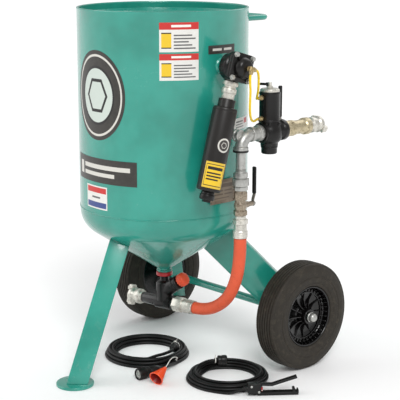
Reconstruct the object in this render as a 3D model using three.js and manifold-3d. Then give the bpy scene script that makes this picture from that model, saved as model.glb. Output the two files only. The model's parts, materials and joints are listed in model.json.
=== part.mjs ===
// A wheeled pressure pot for abrasive blasting, with its air piping and two coiled control leads.
// Millimetres, +Z up. The pot's own frame has the tank's axis at x = y = 0 and the floor at z = 0.
import * as THREE from 'three';
import { mergeVertices } from 'three/addons/utils/BufferGeometryUtils.js';
import Module from 'manifold-3d';

const wasm = await Module();
wasm.setup();

// ---------------------------------------------------------------- driving dimensions
const gap = 0.35; // clearance between pieces that rest on each other
const tank = { radius: 305, wall: 6, rimZ: 1310, seamZ: 600, sides: 40 };
const cone = { slope: 0.667, apexZ: 335, tangentRadius: 265, neckRadius: 25, boreRadius: 19, neckZ: 338 };
const dish = { edgeZ: 1286, centreZ: 1208, holeRadius: 57, thickness: 6 };
const leg = { heelY: -463, lean: 0.417, flange: 76, wall: 6, footY: -420, footRadius: 67, footHeight: 10 };
const strut = { lowSum: 573, highSum: 750, topRadius: 120, endRadius: 476, wall: 6, flange: 48 };
const wheel = { radius: 198, width: 96, outerX: 452, rimRadius: 113, axleY: 313, axleRadius: 15, stubRadius: 12.5 };
const handle = { halfWidth: 150, z: 1262, reachY: 381, barRadius: 10, bend: 34 };
const outlet = { z: 1125, lean: -16, axisX: 366, boltSide: 77 };
const inlet = { x: 375, z: 889, flangeY: 118, valveY: 164, valveEnd: 360, leverX: 322, leverY: 272 };
const riser = { x: 375, y: 26, chokeZ: 645, leverY: 86, hoseTopZ: 531 };
const mixing = { z: 220, turn: 12.4, pipeRadius: 21, pipeStart: -96, pipeEnd: 47, hoseStart: 136.5 };
const clawLength = 62;
const knobTilt = 34;
const coilLeft = { x: -70, y: -29, inner: 112, outer: 160, height: 34 };
const coilRight = { x: 326, y: 18, inner: 92, outer: 151, height: 45 };
const originShiftY = -12; // brings the middle of the footprint to y = 0

// ---------------------------------------------------------------- finishes
const paint = { color: 0x2f9584, roughness: 0.32, metalness: 0.1 };
const blackCast = { color: 0x1d1b1a, roughness: 0.45, metalness: 0.3 };
const blackMatt = { color: 0x262423, roughness: 0.6, metalness: 0.1 };
const rubber = { color: 0x2b2722, roughness: 0.85, metalness: 0 };
const zinc = { color: 0xb4b6b4, roughness: 0.4, metalness: 0.9 };
const brass = { color: 0xb59a62, roughness: 0.35, metalness: 0.9 };
const steel = { color: 0xa9a39a, roughness: 0.4, metalness: 0.9 };
const hoseRubber = { color: 0xd6592f, roughness: 0.6, metalness: 0 };
const yellowTube = { color: 0xe2c21c, roughness: 0.35, metalness: 0 };
const grip = { color: 0x151414, roughness: 0.5, metalness: 0 };
const redPlastic = { color: 0xd8421f, roughness: 0.4, metalness: 0 };

// ---------------------------------------------------------------- solids from three.js geometry
function toSolid(geometry) {
  const bare = geometry.clone();
  bare.deleteAttribute('normal');
  bare.deleteAttribute('uv');
  const merged = mergeVertices(bare, 1e-4);
  const corner = merged.getAttribute('position');
  const triangles = [];
  for (let i = 0; i < merged.index.count; i += 3) {
    const [a, b, c] = [0, 1, 2].map((k) => merged.index.getX(i + k));
    if (a !== b && b !== c && c !== a) triangles.push(a, b, c);
  }
  const point = (k) => new THREE.Vector3().fromBufferAttribute(corner, k);
  let volume = 0;
  for (let i = 0; i < triangles.length; i += 3) {
    volume += point(triangles[i]).dot(point(triangles[i + 1]).cross(point(triangles[i + 2])));
  }
  if (volume < 0) triangles.reverse();
  const mesh = new wasm.Mesh({
    numProp: 3,
    vertProperties: new Float32Array(corner.array),
    triVerts: new Uint32Array(triangles),
  });
  return new wasm.Manifold(mesh);
}

function toGeometry(solid) {
  const mesh = solid.getMesh();
  const geometry = new THREE.BufferGeometry();
  geometry.setAttribute('position', new THREE.BufferAttribute(Float32Array.from(mesh.vertProperties), 3));
  geometry.setIndex(new THREE.BufferAttribute(Uint32Array.from(mesh.triVerts), 1));
  return geometry;
}

const join = (first, ...rest) => rest.reduce((sum, next) => sum.add(next), first);
const cut = (first, ...rest) => rest.reduce((sum, next) => sum.subtract(next), first);

// A turned solid about +Z, from [radius, height] pairs that close on the axis or on themselves.
function lathe(profile, sides = 16) {
  const outline = profile.map(([r, z]) => new THREE.Vector2(r, z));
  return new THREE.LatheGeometry(outline, sides).rotateX(Math.PI / 2);
}

// The same solid with its axis of turning along +X instead.
const latheX = (profile, sides) => lathe(profile, sides).rotateY(Math.PI / 2);
// And along +Y.
const latheY = (profile, sides) => lathe(profile, sides).rotateX(-Math.PI / 2);

const rodProfile = (radius, low, high) => [[0, low], [radius, low], [radius, high], [0, high]];
const ringProfile = (inner, outer, low, high) => [
  [inner, low], [outer, low], [outer, high], [inner, high], [inner, low],
];

// A prism about +Z with a given number of flats; radius reaches its corners.
function prism(flats, radius, low, high) {
  return new THREE.CylinderGeometry(radius, radius, high - low, flats)
    .rotateX(Math.PI / 2)
    .translate(0, 0, (low + high) / 2);
}

function box(low, high) {
  const size = high.map((value, k) => value - low[k]);
  const middle = high.map((value, k) => (value + low[k]) / 2);
  return new THREE.BoxGeometry(...size).translate(...middle);
}

function polygon(points) {
  const shape = new THREE.Shape();
  points.forEach(([x, y], k) => (k ? shape.lineTo(x, y) : shape.moveTo(x, y)));
  shape.closePath();
  return shape;
}

function plate(points, thickness) {
  return new THREE.ExtrudeGeometry(polygon(points), { depth: thickness, bevelEnabled: false });
}

function circlePoints(radius, sides) {
  return Array.from({ length: sides }, (_, k) => {
    const angle = (2 * Math.PI * k) / sides;
    return [radius * Math.cos(angle), radius * Math.sin(angle)];
  });
}

// A round bar, or a pipe when it has a bore, along a smooth curve.
function barAlong(points, radius, { bore = 0, sides = 12, steps = 24 } = {}) {
  const curve = new THREE.CatmullRomCurve3(points.map((p) => new THREE.Vector3(...p)), false, 'centripetal');
  const section = polygon(circlePoints(radius, sides));
  if (bore) section.holes.push(new THREE.Path(polygon(circlePoints(bore, sides)).getPoints().reverse()));
  return new THREE.ExtrudeGeometry(section, { steps, bevelEnabled: false, extrudePath: curve });
}

// ---------------------------------------------------------------- scene graph
const group = new THREE.Group();
const pot = new THREE.Group();
pot.position.y = originShiftY;
group.add(pot);

function part(name, solid, finish, parent = pot) {
  const mesh = new THREE.Mesh(toGeometry(solid), new THREE.MeshStandardMaterial(finish));
  mesh.name = name;
  parent.add(mesh);
  return mesh;
}

// ---------------------------------------------------------------- tank
const knuckleRadius = (tank.radius - cone.tangentRadius) / (1 - Math.sin(Math.atan(cone.slope)));
const coneAngle = Math.atan(cone.slope);
const tangentZ = cone.apexZ + cone.slope * cone.tangentRadius;
const knuckleZ = tangentZ + knuckleRadius * Math.cos(coneAngle);

// The knuckle and cone from the seam down to the neck; inset moves the outline inwards.
function headOutline(inset, neck, neckEnd) {
  const outline = [[tank.radius - inset, tank.seamZ]];
  const steps = 4;
  for (let k = 0; k <= steps; k += 1) {
    const angle = (k / steps) * (Math.PI / 2 - coneAngle);
    outline.push([
      tank.radius - knuckleRadius + (knuckleRadius - inset) * Math.cos(angle),
      knuckleZ - (knuckleRadius - inset) * Math.sin(angle),
    ]);
  }
  outline.push([neck, cone.apexZ + cone.slope * neck + inset / Math.cos(coneAngle)]);
  outline.push([neck, neckEnd]);
  return outline;
}

// Everything that the tank fills, a hair larger, to fit brackets and legs against it.
const hair = 0.5;
const headFill = headOutline(-hair, cone.neckRadius + hair, cone.neckZ - 40);
const envelope = toSolid(lathe([
  [0, cone.neckZ - 40],
  ...headFill.slice().reverse(),
  [tank.radius + hair, tank.rimZ + 20],
  [0, tank.rimZ + 20],
], 2 * tank.sides));

const feedAxisY = riser.y;
function portCutter(y, z, radius) {
  return toSolid(latheX(rodProfile(radius, 200, 340), 24).translate(0, y, z));
}

function tankShell() {
  const inner = tank.radius - tank.wall;
  const lip = tank.wall / 2;
  const profile = [[inner, tank.seamZ + gap], [tank.radius, tank.seamZ + gap]];
  for (let k = 0; k <= 4; k += 1) {
    const angle = (k / 4) * Math.PI;
    profile.push([inner + lip + lip * Math.cos(angle), tank.rimZ - lip + lip * Math.sin(angle)]);
  }
  profile.push([inner, tank.seamZ + gap]);
  return cut(
    toSolid(lathe(profile, tank.sides)),
    portCutter(0, outlet.z, 17 + gap),
    portCutter(feedAxisY, inlet.z, 17 + gap),
  );
}

function bottomHead() {
  const outside = headOutline(0, cone.neckRadius, cone.neckZ);
  const inside = headOutline(tank.wall, cone.boreRadius, cone.neckZ);
  return toSolid(lathe([...outside, ...inside.reverse(), outside[0]], tank.sides));
}

function topHead() {
  const edge = tank.radius - tank.wall - 2 * gap;
  const steps = 5;
  const height = (r) => {
    const t = (r - dish.holeRadius) / (edge - dish.holeRadius);
    return dish.centreZ + (dish.edgeZ - dish.centreZ) * t * t;
  };
  const upper = [];
  for (let k = 0; k <= steps; k += 1) {
    const r = dish.holeRadius + ((edge - dish.holeRadius) * k) / steps;
    upper.push([r, height(r)]);
  }
  const lower = upper.map(([r, z]) => [r, z - dish.thickness]).reverse();
  return toSolid(lathe([...upper, ...lower, upper[0]], tank.sides));
}

const stemTopZ = 1150;
const popupZ = 1168;
const gasketZ = dish.centreZ - 12;

function fillPort() {
  const outer = dish.holeRadius - gap;
  part('fill_ring', toSolid(lathe([
    [42, gasketZ + 10 + gap], [outer, gasketZ + 10 + gap], [outer, dish.centreZ + 6], [50, dish.centreZ + 9],
    [42, dish.centreZ + 5], [42, gasketZ + 10 + gap],
  ], 28)), paint);
  part('fill_gasket', toSolid(lathe(ringProfile(38, 53, gasketZ, gasketZ + 10), 28)), rubber);
  part('popup_valve', toSolid(lathe([
    [0, stemTopZ - 40], [14, stemTopZ - 40], [14, popupZ - 14], [22, popupZ - 10], [46, popupZ - 6],
    [46, popupZ], [12, popupZ + 20], [0, popupZ + 24],
  ], 20)), brass);
  part('stand_pipe', toSolid(barAlong([
    [289, feedAxisY, inlet.z], [210, feedAxisY, inlet.z], [110, 20, inlet.z], [40, 8, inlet.z + 12],
    [8, 1, inlet.z + 52], [0, 0, inlet.z + 110], [0, 0, stemTopZ],
  ], 20, { bore: 16.5, sides: 12, steps: 14 })), zinc);
}

part('tank_shell', tankShell(), paint);
part('top_head', topHead(), paint);
part('bottom_head', bottomHead(), paint);
fillPort();

// ---------------------------------------------------------------- handle, legs and axle
function rearHandle() {
  const { halfWidth, z, reachY, barRadius, bend } = handle;
  const side = (sign) => {
    const corner = [];
    for (let k = 0; k <= 4; k += 1) {
      const angle = (k / 4) * (Math.PI / 2);
      const x = halfWidth - bend + bend * Math.cos(angle);
      corner.push([sign * x, reachY - bend + bend * Math.sin(angle), z]);
    }
    return [[sign * halfWidth, 240, z], [sign * halfWidth, 290, z], ...corner];
  };
  const route = [...side(-1), [-60, reachY, z], [60, reachY, z], ...side(1).reverse()];
  return cut(toSolid(barAlong(route, barRadius, { sides: 10, steps: 24 })), envelope);
}

function frontLeg() {
  const { flange, wall, lean, heelY, footHeight } = leg;
  const half = Math.SQRT1_2;
  const alongFlange = (reach, inset) => [
    (reach - inset) * half, (reach + inset) * half,
  ];
  const right = [alongFlange(flange, 0), alongFlange(flange, wall)];
  const inner = [0, wall / half];
  const left = right.map(([x, y]) => [-x, y]).reverse();
  const section = [[0, 0], ...right, inner, ...left];
  const height = 620;
  const solid = plate(section, height);
  const lift = new THREE.Matrix4().makeShear(0, 0, 0, 0, 0, lean);
  solid.applyMatrix4(lift).translate(0, heelY, 0);
  const below = toSolid(box([-200, -700, -50], [200, 0, footHeight + gap]));
  return cut(toSolid(solid), envelope, below);
}

// One strut lies in the upright plane through the tank's axis and the wheel; along it r + z is constant.
function rearLeg(sign) {
  const { lowSum, highSum, topRadius, endRadius, wall, flange } = strut;
  const outline = [
    [topRadius, lowSum - topRadius], [endRadius, lowSum - endRadius],
    [endRadius, highSum - endRadius], [topRadius, highSum - topRadius],
  ];
  const inset = wall * Math.SQRT2;
  const hollow = [
    [topRadius - 40, lowSum + inset - topRadius + 40], [endRadius + 40, lowSum + inset - endRadius - 40],
    [endRadius + 40, highSum - inset - endRadius - 40], [topRadius - 40, highSum - inset - topRadius + 40],
  ];
  const upright = (geometry) => geometry
    .rotateX(Math.PI / 2)
    .rotateZ(sign > 0 ? Math.PI / 4 : (3 * Math.PI) / 4);
  // The web faces forwards and outwards on both sides, and the flanges point back under the tank.
  const depth = sign > 0 ? -flange : 0;
  const block = upright(plate(outline, flange).translate(0, 0, depth));
  const pocketStart = sign > 0 ? -flange - 10 : wall;
  const pocket = upright(plate(hollow, flange + 10 - wall).translate(0, 0, pocketStart));
  const axleHole = latheX(rodProfile(wheel.axleRadius + gap, -500, 500), 24)
    .translate(0, wheel.axleY, wheel.radius);
  return cut(toSolid(block), toSolid(pocket), envelope, toSolid(axleHole));
}

part('rear_handle', rearHandle(), paint);
part('front_leg', frontLeg(), paint);
part('foot_plate', toSolid(lathe([
  [0, 0], [leg.footRadius, 0], [leg.footRadius, leg.footHeight - 2],
  [leg.footRadius - 2, leg.footHeight], [0, leg.footHeight],
], 32).translate(0, leg.footY, 0)), paint);
part('rear_leg_right', rearLeg(1), paint);
part('rear_leg_left', rearLeg(-1), paint);

const stubStart = wheel.outerX - wheel.width - 6;
const axleEnd = wheel.outerX + 12;
part('axle', toSolid(latheX([
  [0, -axleEnd], [wheel.stubRadius, -axleEnd], [wheel.stubRadius, -stubStart], [wheel.axleRadius, -stubStart],
  [wheel.axleRadius, stubStart], [wheel.stubRadius, stubStart], [wheel.stubRadius, axleEnd], [0, axleEnd],
], 20).translate(0, wheel.axleY, wheel.radius)), paint);

// ---------------------------------------------------------------- wheels
// Profiles are drawn about +Z with z = 0 at the middle of the tyre and +z on the outer side.
function tyre() {
  const { radius, width, rimRadius } = wheel;
  const half = width / 2;
  const tread = radius;
  const groove = (z) => [[tread, z - 4], [tread - 5, z], [tread, z + 4]];
  const shoulder = (side) => [
    [tread - 2, side * (half - 16)], [tread - 12, side * (half - 6)], [tread - 28, side * (half - 1)],
    [rimRadius + 14, side * half], [rimRadius, side * (half - 10)],
  ];
  const outerSide = shoulder(1);
  const innerSide = shoulder(-1).reverse();
  return lathe([...innerSide, ...groove(-14), ...groove(14), ...outerSide, innerSide[0]], 32);
}

function rim() {
  const bore = wheel.stubRadius + 4;
  return lathe([
    [bore, -44], [27, -44], [29, -12], [wheel.rimRadius - 8, -6], [wheel.rimRadius - 8, -38],
    [wheel.rimRadius - gap, -38], [wheel.rimRadius - gap, 37], [wheel.rimRadius - 8, 37],
    [wheel.rimRadius - 8, 10], [wheel.rimRadius - 30, 14], [40, 4], [29, 8], [27, 43], [bore, 43], [bore, -44],
  ], 32);
}

for (const [side, sign] of [['left', -1], ['right', 1]]) {
  const hub = new THREE.Group();
  hub.position.set(sign * (wheel.outerX - wheel.width / 2), wheel.axleY, wheel.radius);
  hub.rotation.y = (sign * Math.PI) / 2;
  pot.add(hub);
  part(`${side}_tyre`, toSolid(tyre()), rubber, hub);
  part(`${side}_rim`, toSolid(rim()), blackCast, hub);
  const middleX = wheel.outerX - wheel.width / 2;
  part(`${side}_bush`, toSolid(lathe(
    ringProfile(wheel.stubRadius + 0.2, wheel.stubRadius + 3.6, -42, 42), 24,
  )), steel, hub);
  part(`${side}_axle_nut`, toSolid(lathe([
    [0, axleEnd + 1], [wheel.stubRadius + 0.3, axleEnd + 1], [wheel.stubRadius + 0.3, wheel.outerX - 1],
    [16.5, wheel.outerX - 1], [16.5, axleEnd + 2], [12, axleEnd + 6], [0, axleEnd + 7],
  ], 18).translate(0, 0, -middleX)), zinc, hub);
}

// ---------------------------------------------------------------- outlet valve and muffler
// Drawn upright about the outlet's axis (+X), with the port pointing down, then leaned as one.
const outletGroup = new THREE.Group();
outletGroup.position.set(0, 0, outlet.z);
outletGroup.rotation.x = THREE.MathUtils.degToRad(outlet.lean);
pot.add(outletGroup);

function squareFlange(side, low, high, corner = 12) {
  const half = side / 2;
  const clip = half - corner;
  const outline = [
    [clip, -half], [half, -clip], [half, clip], [clip, half],
    [-clip, half], [-half, clip], [-half, -clip], [-clip, -half],
  ];
  return plate(outline, high - low).translate(0, 0, low).rotateY(Math.PI / 2);
}

const boltHalf = outlet.boltSide / 2;
const flangeSide = outlet.boltSide + 20;
const boltSpots = [[1, 1], [1, -1], [-1, 1], [-1, -1]].map(([a, b]) => [a * boltHalf, b * boltHalf]);

part('outlet_valve_body', join(
  toSolid(latheX([[0, 290], [17, 290], [17, 334], [38, 335], [47, 342], [47, 366], [40, 374], [34, 380],
    [34, 394], [0, 394]], 20)),
  toSolid(squareFlange(flangeSide, 384, 396)),
  toSolid(lathe(rodProfile(25, -50, 0), 24).translate(outlet.axisX, 0, 0)),
), blackCast, outletGroup);
part('outlet_valve_cover', join(
  toSolid(squareFlange(flangeSide, 396 + gap, 406)),
  toSolid(latheX([[0, 397], [36, 397], [36, 416], [31, 427], [20, 433], [0, 434]], 20)),
  ...boltSpots.map(([y, z]) => toSolid(prism(6, 8, 405, 414).rotateY(Math.PI / 2).translate(0, y, z))),
), blackCast, outletGroup);
part('signal_tee', join(
  toSolid(latheX(rodProfile(6.5, 434 + gap, 456), 12)),
  toSolid(box([444, -8, -8], [459, 8, 8])),
  toSolid(latheY(rodProfile(6, 0, 18), 12).translate(451.5, 0, 0)),
  toSolid(lathe(rodProfile(6, -18, 0), 12).translate(451.5, 0, 0)),
), brass, outletGroup);

function onOutletPort(profile, sides = 18) {
  return toSolid(lathe(profile, sides).translate(outlet.axisX, 0, 0));
}
part('outlet_coupling', join(
  onOutletPort([[0, -110], [22, -110], [22, -92], [25, -90], [25, -74], [21, -72], [21, -62], [26, -60],
    [26, -50 - gap], [0, -50 - gap]]),
  toSolid(box([outlet.axisX - 29, -7, -88], [outlet.axisX + 29, 7, -76])),
), zinc, outletGroup);
part('muffler_body', onOutletPort([
  [0, -426], [38, -426], [42, -422], [42, -142], [38, -138], [29, -138], [29, -110 - gap], [0, -110 - gap],
], 20), blackMatt, outletGroup);
part('muffler_plug', join(
  onOutletPort([[0, -456], [23, -456], [26, -452], [26, -438], [23, -436], [23, -426 - gap],
    [0, -426 - gap]]),
), blackCast, outletGroup);

// ---------------------------------------------------------------- inlet line
const inletAt = (geometry) => toSolid(geometry.translate(inlet.x, 0, inlet.z));

part('feed_nipple', toSolid(latheX(ringProfile(12, 17, 290 + gap, 351), 20)
  .translate(0, feedAxisY, inlet.z)), zinc);

function inletElbow() {
  const bend = 46;
  const route = [];
  for (let k = 0; k <= 6; k += 1) {
    const angle = (k / 6) * (Math.PI / 2);
    route.push([
      riser.x, riser.y + bend - bend * Math.cos(angle), inlet.z - bend + bend * Math.sin(angle),
    ]);
  }
  const elbow = toSolid(barAlong(route, 22, { sides: 14, steps: 6 }));
  const lowBand = toSolid(lathe(rodProfile(25, inlet.z - bend - 4, inlet.z - bend + 8), 24)
    .translate(riser.x, riser.y, 0));
  const bandStart = riser.y + bend - 4;
  const collar = inlet.flangeY - 16;
  const sideBand = inletAt(latheY([[0, bandStart], [25, bandStart], [25, bandStart + 12], [22, bandStart + 14],
    [22, collar - 2], [28, collar], [28, inlet.flangeY], [0, inlet.flangeY]], 20));
  const feedBoss = toSolid(latheX(rodProfile(21, 351 + gap, riser.x), 20)
    .translate(0, riser.y, inlet.z));
  return join(elbow, lowBand, sideBand, feedBoss);
}
part('inlet_elbow', inletElbow(), zinc);

part('inlet_valve_body', join(
  inletAt(latheY([[0, inlet.flangeY + gap], [35, inlet.flangeY + gap], [35, inlet.flangeY + 9],
    [31, inlet.flangeY + 14], [31, 208], [37, 214], [37, 230], [0, 230]], 18)),
  toSolid(lathe([[0, 839], [31, 839], [31, 850], [42, 862], [45, 884], [42, 906], [37, 918], [37, 926],
    [0, 926]], 20).translate(inlet.x, inlet.valveY, 0)),
), blackCast);

const onActuator = (profile, sides = 18) => toSolid(lathe(profile, sides)
  .translate(inlet.x, inlet.valveY, 0));
part('valve_bottom_plug', onActuator([[0, 812], [25, 812], [28, 815], [28, 832], [30, 834],
  [30, 839 - gap], [0, 839 - gap]]), blackCast);
part('actuator_cylinder', onActuator([[0, 926 + gap], [36.5, 926 + gap], [36.5, 1026], [34, 1029],
  [0, 1029]], 20), blackCast);
part('actuator_cap', join(
  onActuator([[0, 1029 + gap], [34, 1029 + gap], [34, 1036], [30, 1040], [0, 1040]]),
  onActuator([[0, 1039], [9, 1039], [9, 1048], [6, 1050], [6, 1062], [0, 1062]], 12),
), zinc);
for (const [place, z] of [['upper', 1010], ['lower', 938]]) {
  part(`actuator_fitting_${place}`, toSolid(latheY([
    [0, -57], [6, -57], [6, -48], [8, -47], [8, -37], [0, -37],
  ], 12).translate(inlet.x, inlet.valveY, z)), brass);
}

part('inlet_ball_valve', join(
  inletAt(latheY([[0, 230 + gap], [27, 230 + gap], [30, 234], [30, 248], [25, 253], [27, 264], [27, 280],
    [25, 291], [25, 328], [30, 334], [30, inlet.valveEnd - 4], [26, inlet.valveEnd], [0, inlet.valveEnd]], 18)),
  toSolid(latheX(rodProfile(9, inlet.leverX + 9, inlet.x), 16).translate(0, inlet.leverY, inlet.z)),
), brass);

// A flat lever with a moulded sleeve, drawn pointing up from a hub whose axis is +Y.
function ballLever(length, hubHeight) {
  const hub = toSolid(latheY([[0, 0], [11, 0], [11, 5], [7, 6], [7, 11], [0, 11]], 12));
  const strip = toSolid(box([-5.5, 0.5, 0], [5.5, 4, hubHeight + 20]));
  const sleeve = toSolid(box([-6, -1.5, hubHeight], [6, 6.5, length]));
  return join(hub, strip, sleeve);
}
const inletLever = part('inlet_lever', ballLever(146, 34), grip);
inletLever.position.set(inlet.leverX + 9 - gap, inlet.leverY, inlet.z);
inletLever.rotation.z = Math.PI / 2;

function clawCoupling(bore) {
  // Two raised lugs on a flanged mouth; the mouth is at z = 0 and the body runs down from it.
  const body = toSolid(lathe([
    [bore, 0], [27, 0], [30, -6], [30, -18], [24, -24], [24, -32], [28, -35], [28, -50], [23, -53],
    [23, -clawLength], [bore, -clawLength], [bore, 0],
  ], 18));
  const lug = (turn) => {
    const claw = join(
      toSolid(box([22, -9, -16], [38, 9, 8])),
      toSolid(box([14.5 + bore / 4, -9, 2], [32, 9, 13])),
    );
    return claw.rotate([0, 0, turn]);
  };
  return join(body, lug(0), lug(180));
}
const inletClaw = part('inlet_claw_coupling', clawCoupling(14), zinc);
inletClaw.position.set(inlet.x, inlet.valveEnd + gap + clawLength, inlet.z);
inletClaw.rotation.x = -Math.PI / 2;
inletClaw.rotation.order = 'XZY';
inletClaw.rotation.z = THREE.MathUtils.degToRad(35);

// ---------------------------------------------------------------- riser and choke valve
const onRiser = (profile, sides = 16) => toSolid(lathe(profile, sides).translate(riser.x, riser.y, 0));
const elbowFootZ = inlet.z - 50;
part('riser_pipe', onRiser([
  [0, 700], [22, 700], [22, 714], [25, 716], [25, 728], [21, 730], [21, 744], [25, 747], [25, 760],
  [21, 763], [17, 766], [17, elbowFootZ - 8], [24, elbowFootZ - 7], [24, elbowFootZ - gap],
  [0, elbowFootZ - gap],
]), zinc);
part('choke_valve_body', join(
  onRiser([[0, 611], [21, 611], [23, 616], [23, 628], [20, 631], [20, 660], [23, 665], [23, 694],
    [21, 700 - gap], [0, 700 - gap]]),
  toSolid(latheY(rodProfile(9, riser.y, riser.leverY - 4), 16).translate(riser.x, 0, riser.chokeZ)),
), brass);
const chokeLever = part('choke_lever', ballLever(129, 34), grip);
chokeLever.position.set(riser.x, riser.leverY - 4 + gap, riser.chokeZ);
part('hose_coupling_upper', onRiser([
  [0, riser.hoseTopZ + gap], [26, riser.hoseTopZ + gap], [26, 556], [23, 559], [23, 580], [25, 583], [25, 597],
  [20, 600], [20, 611 - gap], [0, 611 - gap],
]), zinc);

// ---------------------------------------------------------------- mixing pipe and metering valve
const mixGroup = new THREE.Group();
mixGroup.position.z = mixing.z;
mixGroup.rotation.z = THREE.MathUtils.degToRad(mixing.turn);
pot.add(mixGroup);

part('mixing_pipe', toSolid(latheX([
  [14, mixing.pipeStart], [mixing.pipeRadius, mixing.pipeStart], [mixing.pipeRadius, mixing.pipeEnd],
  [14, mixing.pipeEnd], [14, mixing.pipeStart],
], 20)), blackMatt, mixGroup);
part('hose_coupling_lower', join(
  toSolid(prism(6, 29, mixing.pipeEnd + gap, 88).rotateY(Math.PI / 2)),
  toSolid(latheX([[0, 86], [23, 86], [25, 92], [25, mixing.hoseStart - gap], [0, mixing.hoseStart - gap]], 20)),
), zinc, mixGroup);
const blastClaw = part('blast_coupling', clawCoupling(14), zinc, mixGroup);
blastClaw.position.x = mixing.pipeStart - gap - clawLength;
blastClaw.rotation.y = -Math.PI / 2;
blastClaw.rotation.order = 'YZX';
blastClaw.rotation.z = THREE.MathUtils.degToRad(10);

const bodyTop = 300 - mixing.z;
const saddle = mixing.pipeRadius + gap;
const bodyPivot = 262 - mixing.z;
const neckRingZ = cone.neckZ - gap - 15 - mixing.z;
const alongKnob = (geometry) => geometry
  .rotateY(Math.PI / 2 - THREE.MathUtils.degToRad(knobTilt))
  .translate(0, 0, bodyPivot);
part('metering_valve_body', cut(
  join(
    toSolid(lathe([[0, 8], [31, 8], [31, bodyTop - 6], [24, bodyTop], [16, bodyTop + 3],
      [16, neckRingZ], [28, neckRingZ + 1], [28, neckRingZ + 15], [0, neckRingZ + 15]], 18)),
    toSolid(alongKnob(lathe(rodProfile(27, 0, 82), 24))),
  ),
  toSolid(latheX(rodProfile(saddle, -200, 200), 24)),
  toSolid(box([-60, -60, -60], [120, 60, 0])),
), blackCast, mixGroup);
part('metering_knob', toSolid(alongKnob(lathe([
  [0, 82 + gap], [9, 82 + gap], [9, 86], [24, 87], [25, 90], [25, 112], [22, 116], [0, 117],
], 8))), redPlastic, mixGroup);

// ---------------------------------------------------------------- hose and air tubes
const turn = THREE.MathUtils.degToRad(mixing.turn);
const onPipeAxis = (reach) => [reach * Math.cos(turn), reach * Math.sin(turn), mixing.z];
const hoseRoute = [
  [375, 26, 530.4], [375, 26, 515], [374, 26, 484], [371, 26.2, 451], [365.5, 26.8, 419],
  [357, 28, 389], [345.5, 29.5, 360.5], [330, 31.5, 331.5], [309.5, 33.5, 303], [282.5, 35.5, 276.5],
  [250, 37, 253.5], [214.5, 37.5, 235.5], [180.5, 36, 224.8], [158, 33.8, 221],
  onPipeAxis(mixing.hoseStart + 8), onPipeAxis(mixing.hoseStart + 0.6),
];
part('pusher_hose', toSolid(barAlong(hoseRoute, 22, { sides: 10, steps: 20 })), hoseRubber);

const shortTubeRoute = [
  [451.5, 18.1, 1119.8], [451.4, 24, 1118], [450.5, 30, 1111], [447.5, 36, 1098], [442, 42, 1079],
  [433, 50, 1055], [421, 59, 1036], [406.5, 70, 1021], [391.5, 84, 1012.5], [379.5, 96.5, 1010.2],
  [375.2, 101, 1010], [375, 106.2, 1010],
];
const longTubeRoute = [
  [451.5, -5.3, 1106.7], [451.7, -7, 1100.5], [452.2, -8, 1080], [452, -6, 1055], [449, -4, 1024],
  [443, 1, 994], [434, 12, 968], [421, 30, 950], [406, 53, 940.5], [391, 77, 937.5], [379.5, 93.5, 937.6],
  [375.2, 101, 938], [375, 106.2, 938],
];
part('signal_tube_short', toSolid(barAlong(shortTubeRoute, 4, { sides: 8, steps: 16 })), yellowTube);
part('signal_tube_long', toSolid(barAlong(longTubeRoute, 4, { sides: 8, steps: 24 })), yellowTube);

// ---------------------------------------------------------------- nameplate on its bracket
part('nameplate', cut(
  join(
    toSolid(box([308, -54, 647], [311, 62, 731])),
    toSolid(box([290, -54, 655], [309, -50, 723])),
    toSolid(box([290, 58, 655], [309, 62, 723])),
  ),
  envelope,
), steel);

// ---------------------------------------------------------------- control leads on the floor
function coilRing({ x, y, inner, outer, height }) {
  const chamfer = 8;
  return toSolid(lathe([
    [inner, chamfer], [inner + chamfer, 0], [outer - chamfer, 0], [outer, chamfer],
    [outer, height - chamfer], [outer - chamfer, height], [inner + chamfer, height],
    [inner, height - chamfer], [inner, chamfer],
  ], 24).translate(x, y, 0));
}

// A round plug drawn along +X from its cable end, then laid down at a height, turned and tipped.
function laidPlug(profile, { x, y, heading, tilt = 0, lift }, sides = 14) {
  const solid = latheX(profile, sides)
    .rotateY(THREE.MathUtils.degToRad(tilt))
    .rotateZ(THREE.MathUtils.degToRad(heading))
    .translate(x, y, lift);
  return toSolid(solid);
}

// Each coil gives way a little where its plug lies against the inner turns.
const plugProfile = [[0, 0], [9, 0], [15, 10], [17, 14], [17, 44], [15, 47], [0, 47]];
const plugRoom = rodProfile(18, -1, 48);
const plugSpots = {
  left: { x: 29.6, y: 12.6, heading: 123, lift: 36 },
  right: { x: 224, y: 45, heading: 55, lift: 37 },
};
part('lead_coil_left', cut(coilRing(coilLeft), laidPlug(plugRoom, plugSpots.left)), grip);
part('lead_coil_right', cut(coilRing(coilRight), laidPlug(plugRoom, plugSpots.right)), grip);
part('lead_plug_left', laidPlug(plugProfile, plugSpots.left), grip);
part('lead_plug_right', laidPlug(plugProfile, plugSpots.right), grip);
part('lead_connector', laidPlug(
  [[0, 0], [8, 0], [10, 14], [17, 26], [19, 34], [19, 78], [21, 80], [21, 112], [0, 112]],
  { x: 127, y: -118, heading: 265, lift: 21.2 },
), grip);
part('orange_boot', laidPlug(
  [[0, 0], [6, 0], [9, 8], [24, 52], [27, 62], [24, 62], [20, 50], [0, 46]],
  { x: 191, y: -161, heading: 282.5, tilt: 22.7, lift: 50 },
), redPlastic);

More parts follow.
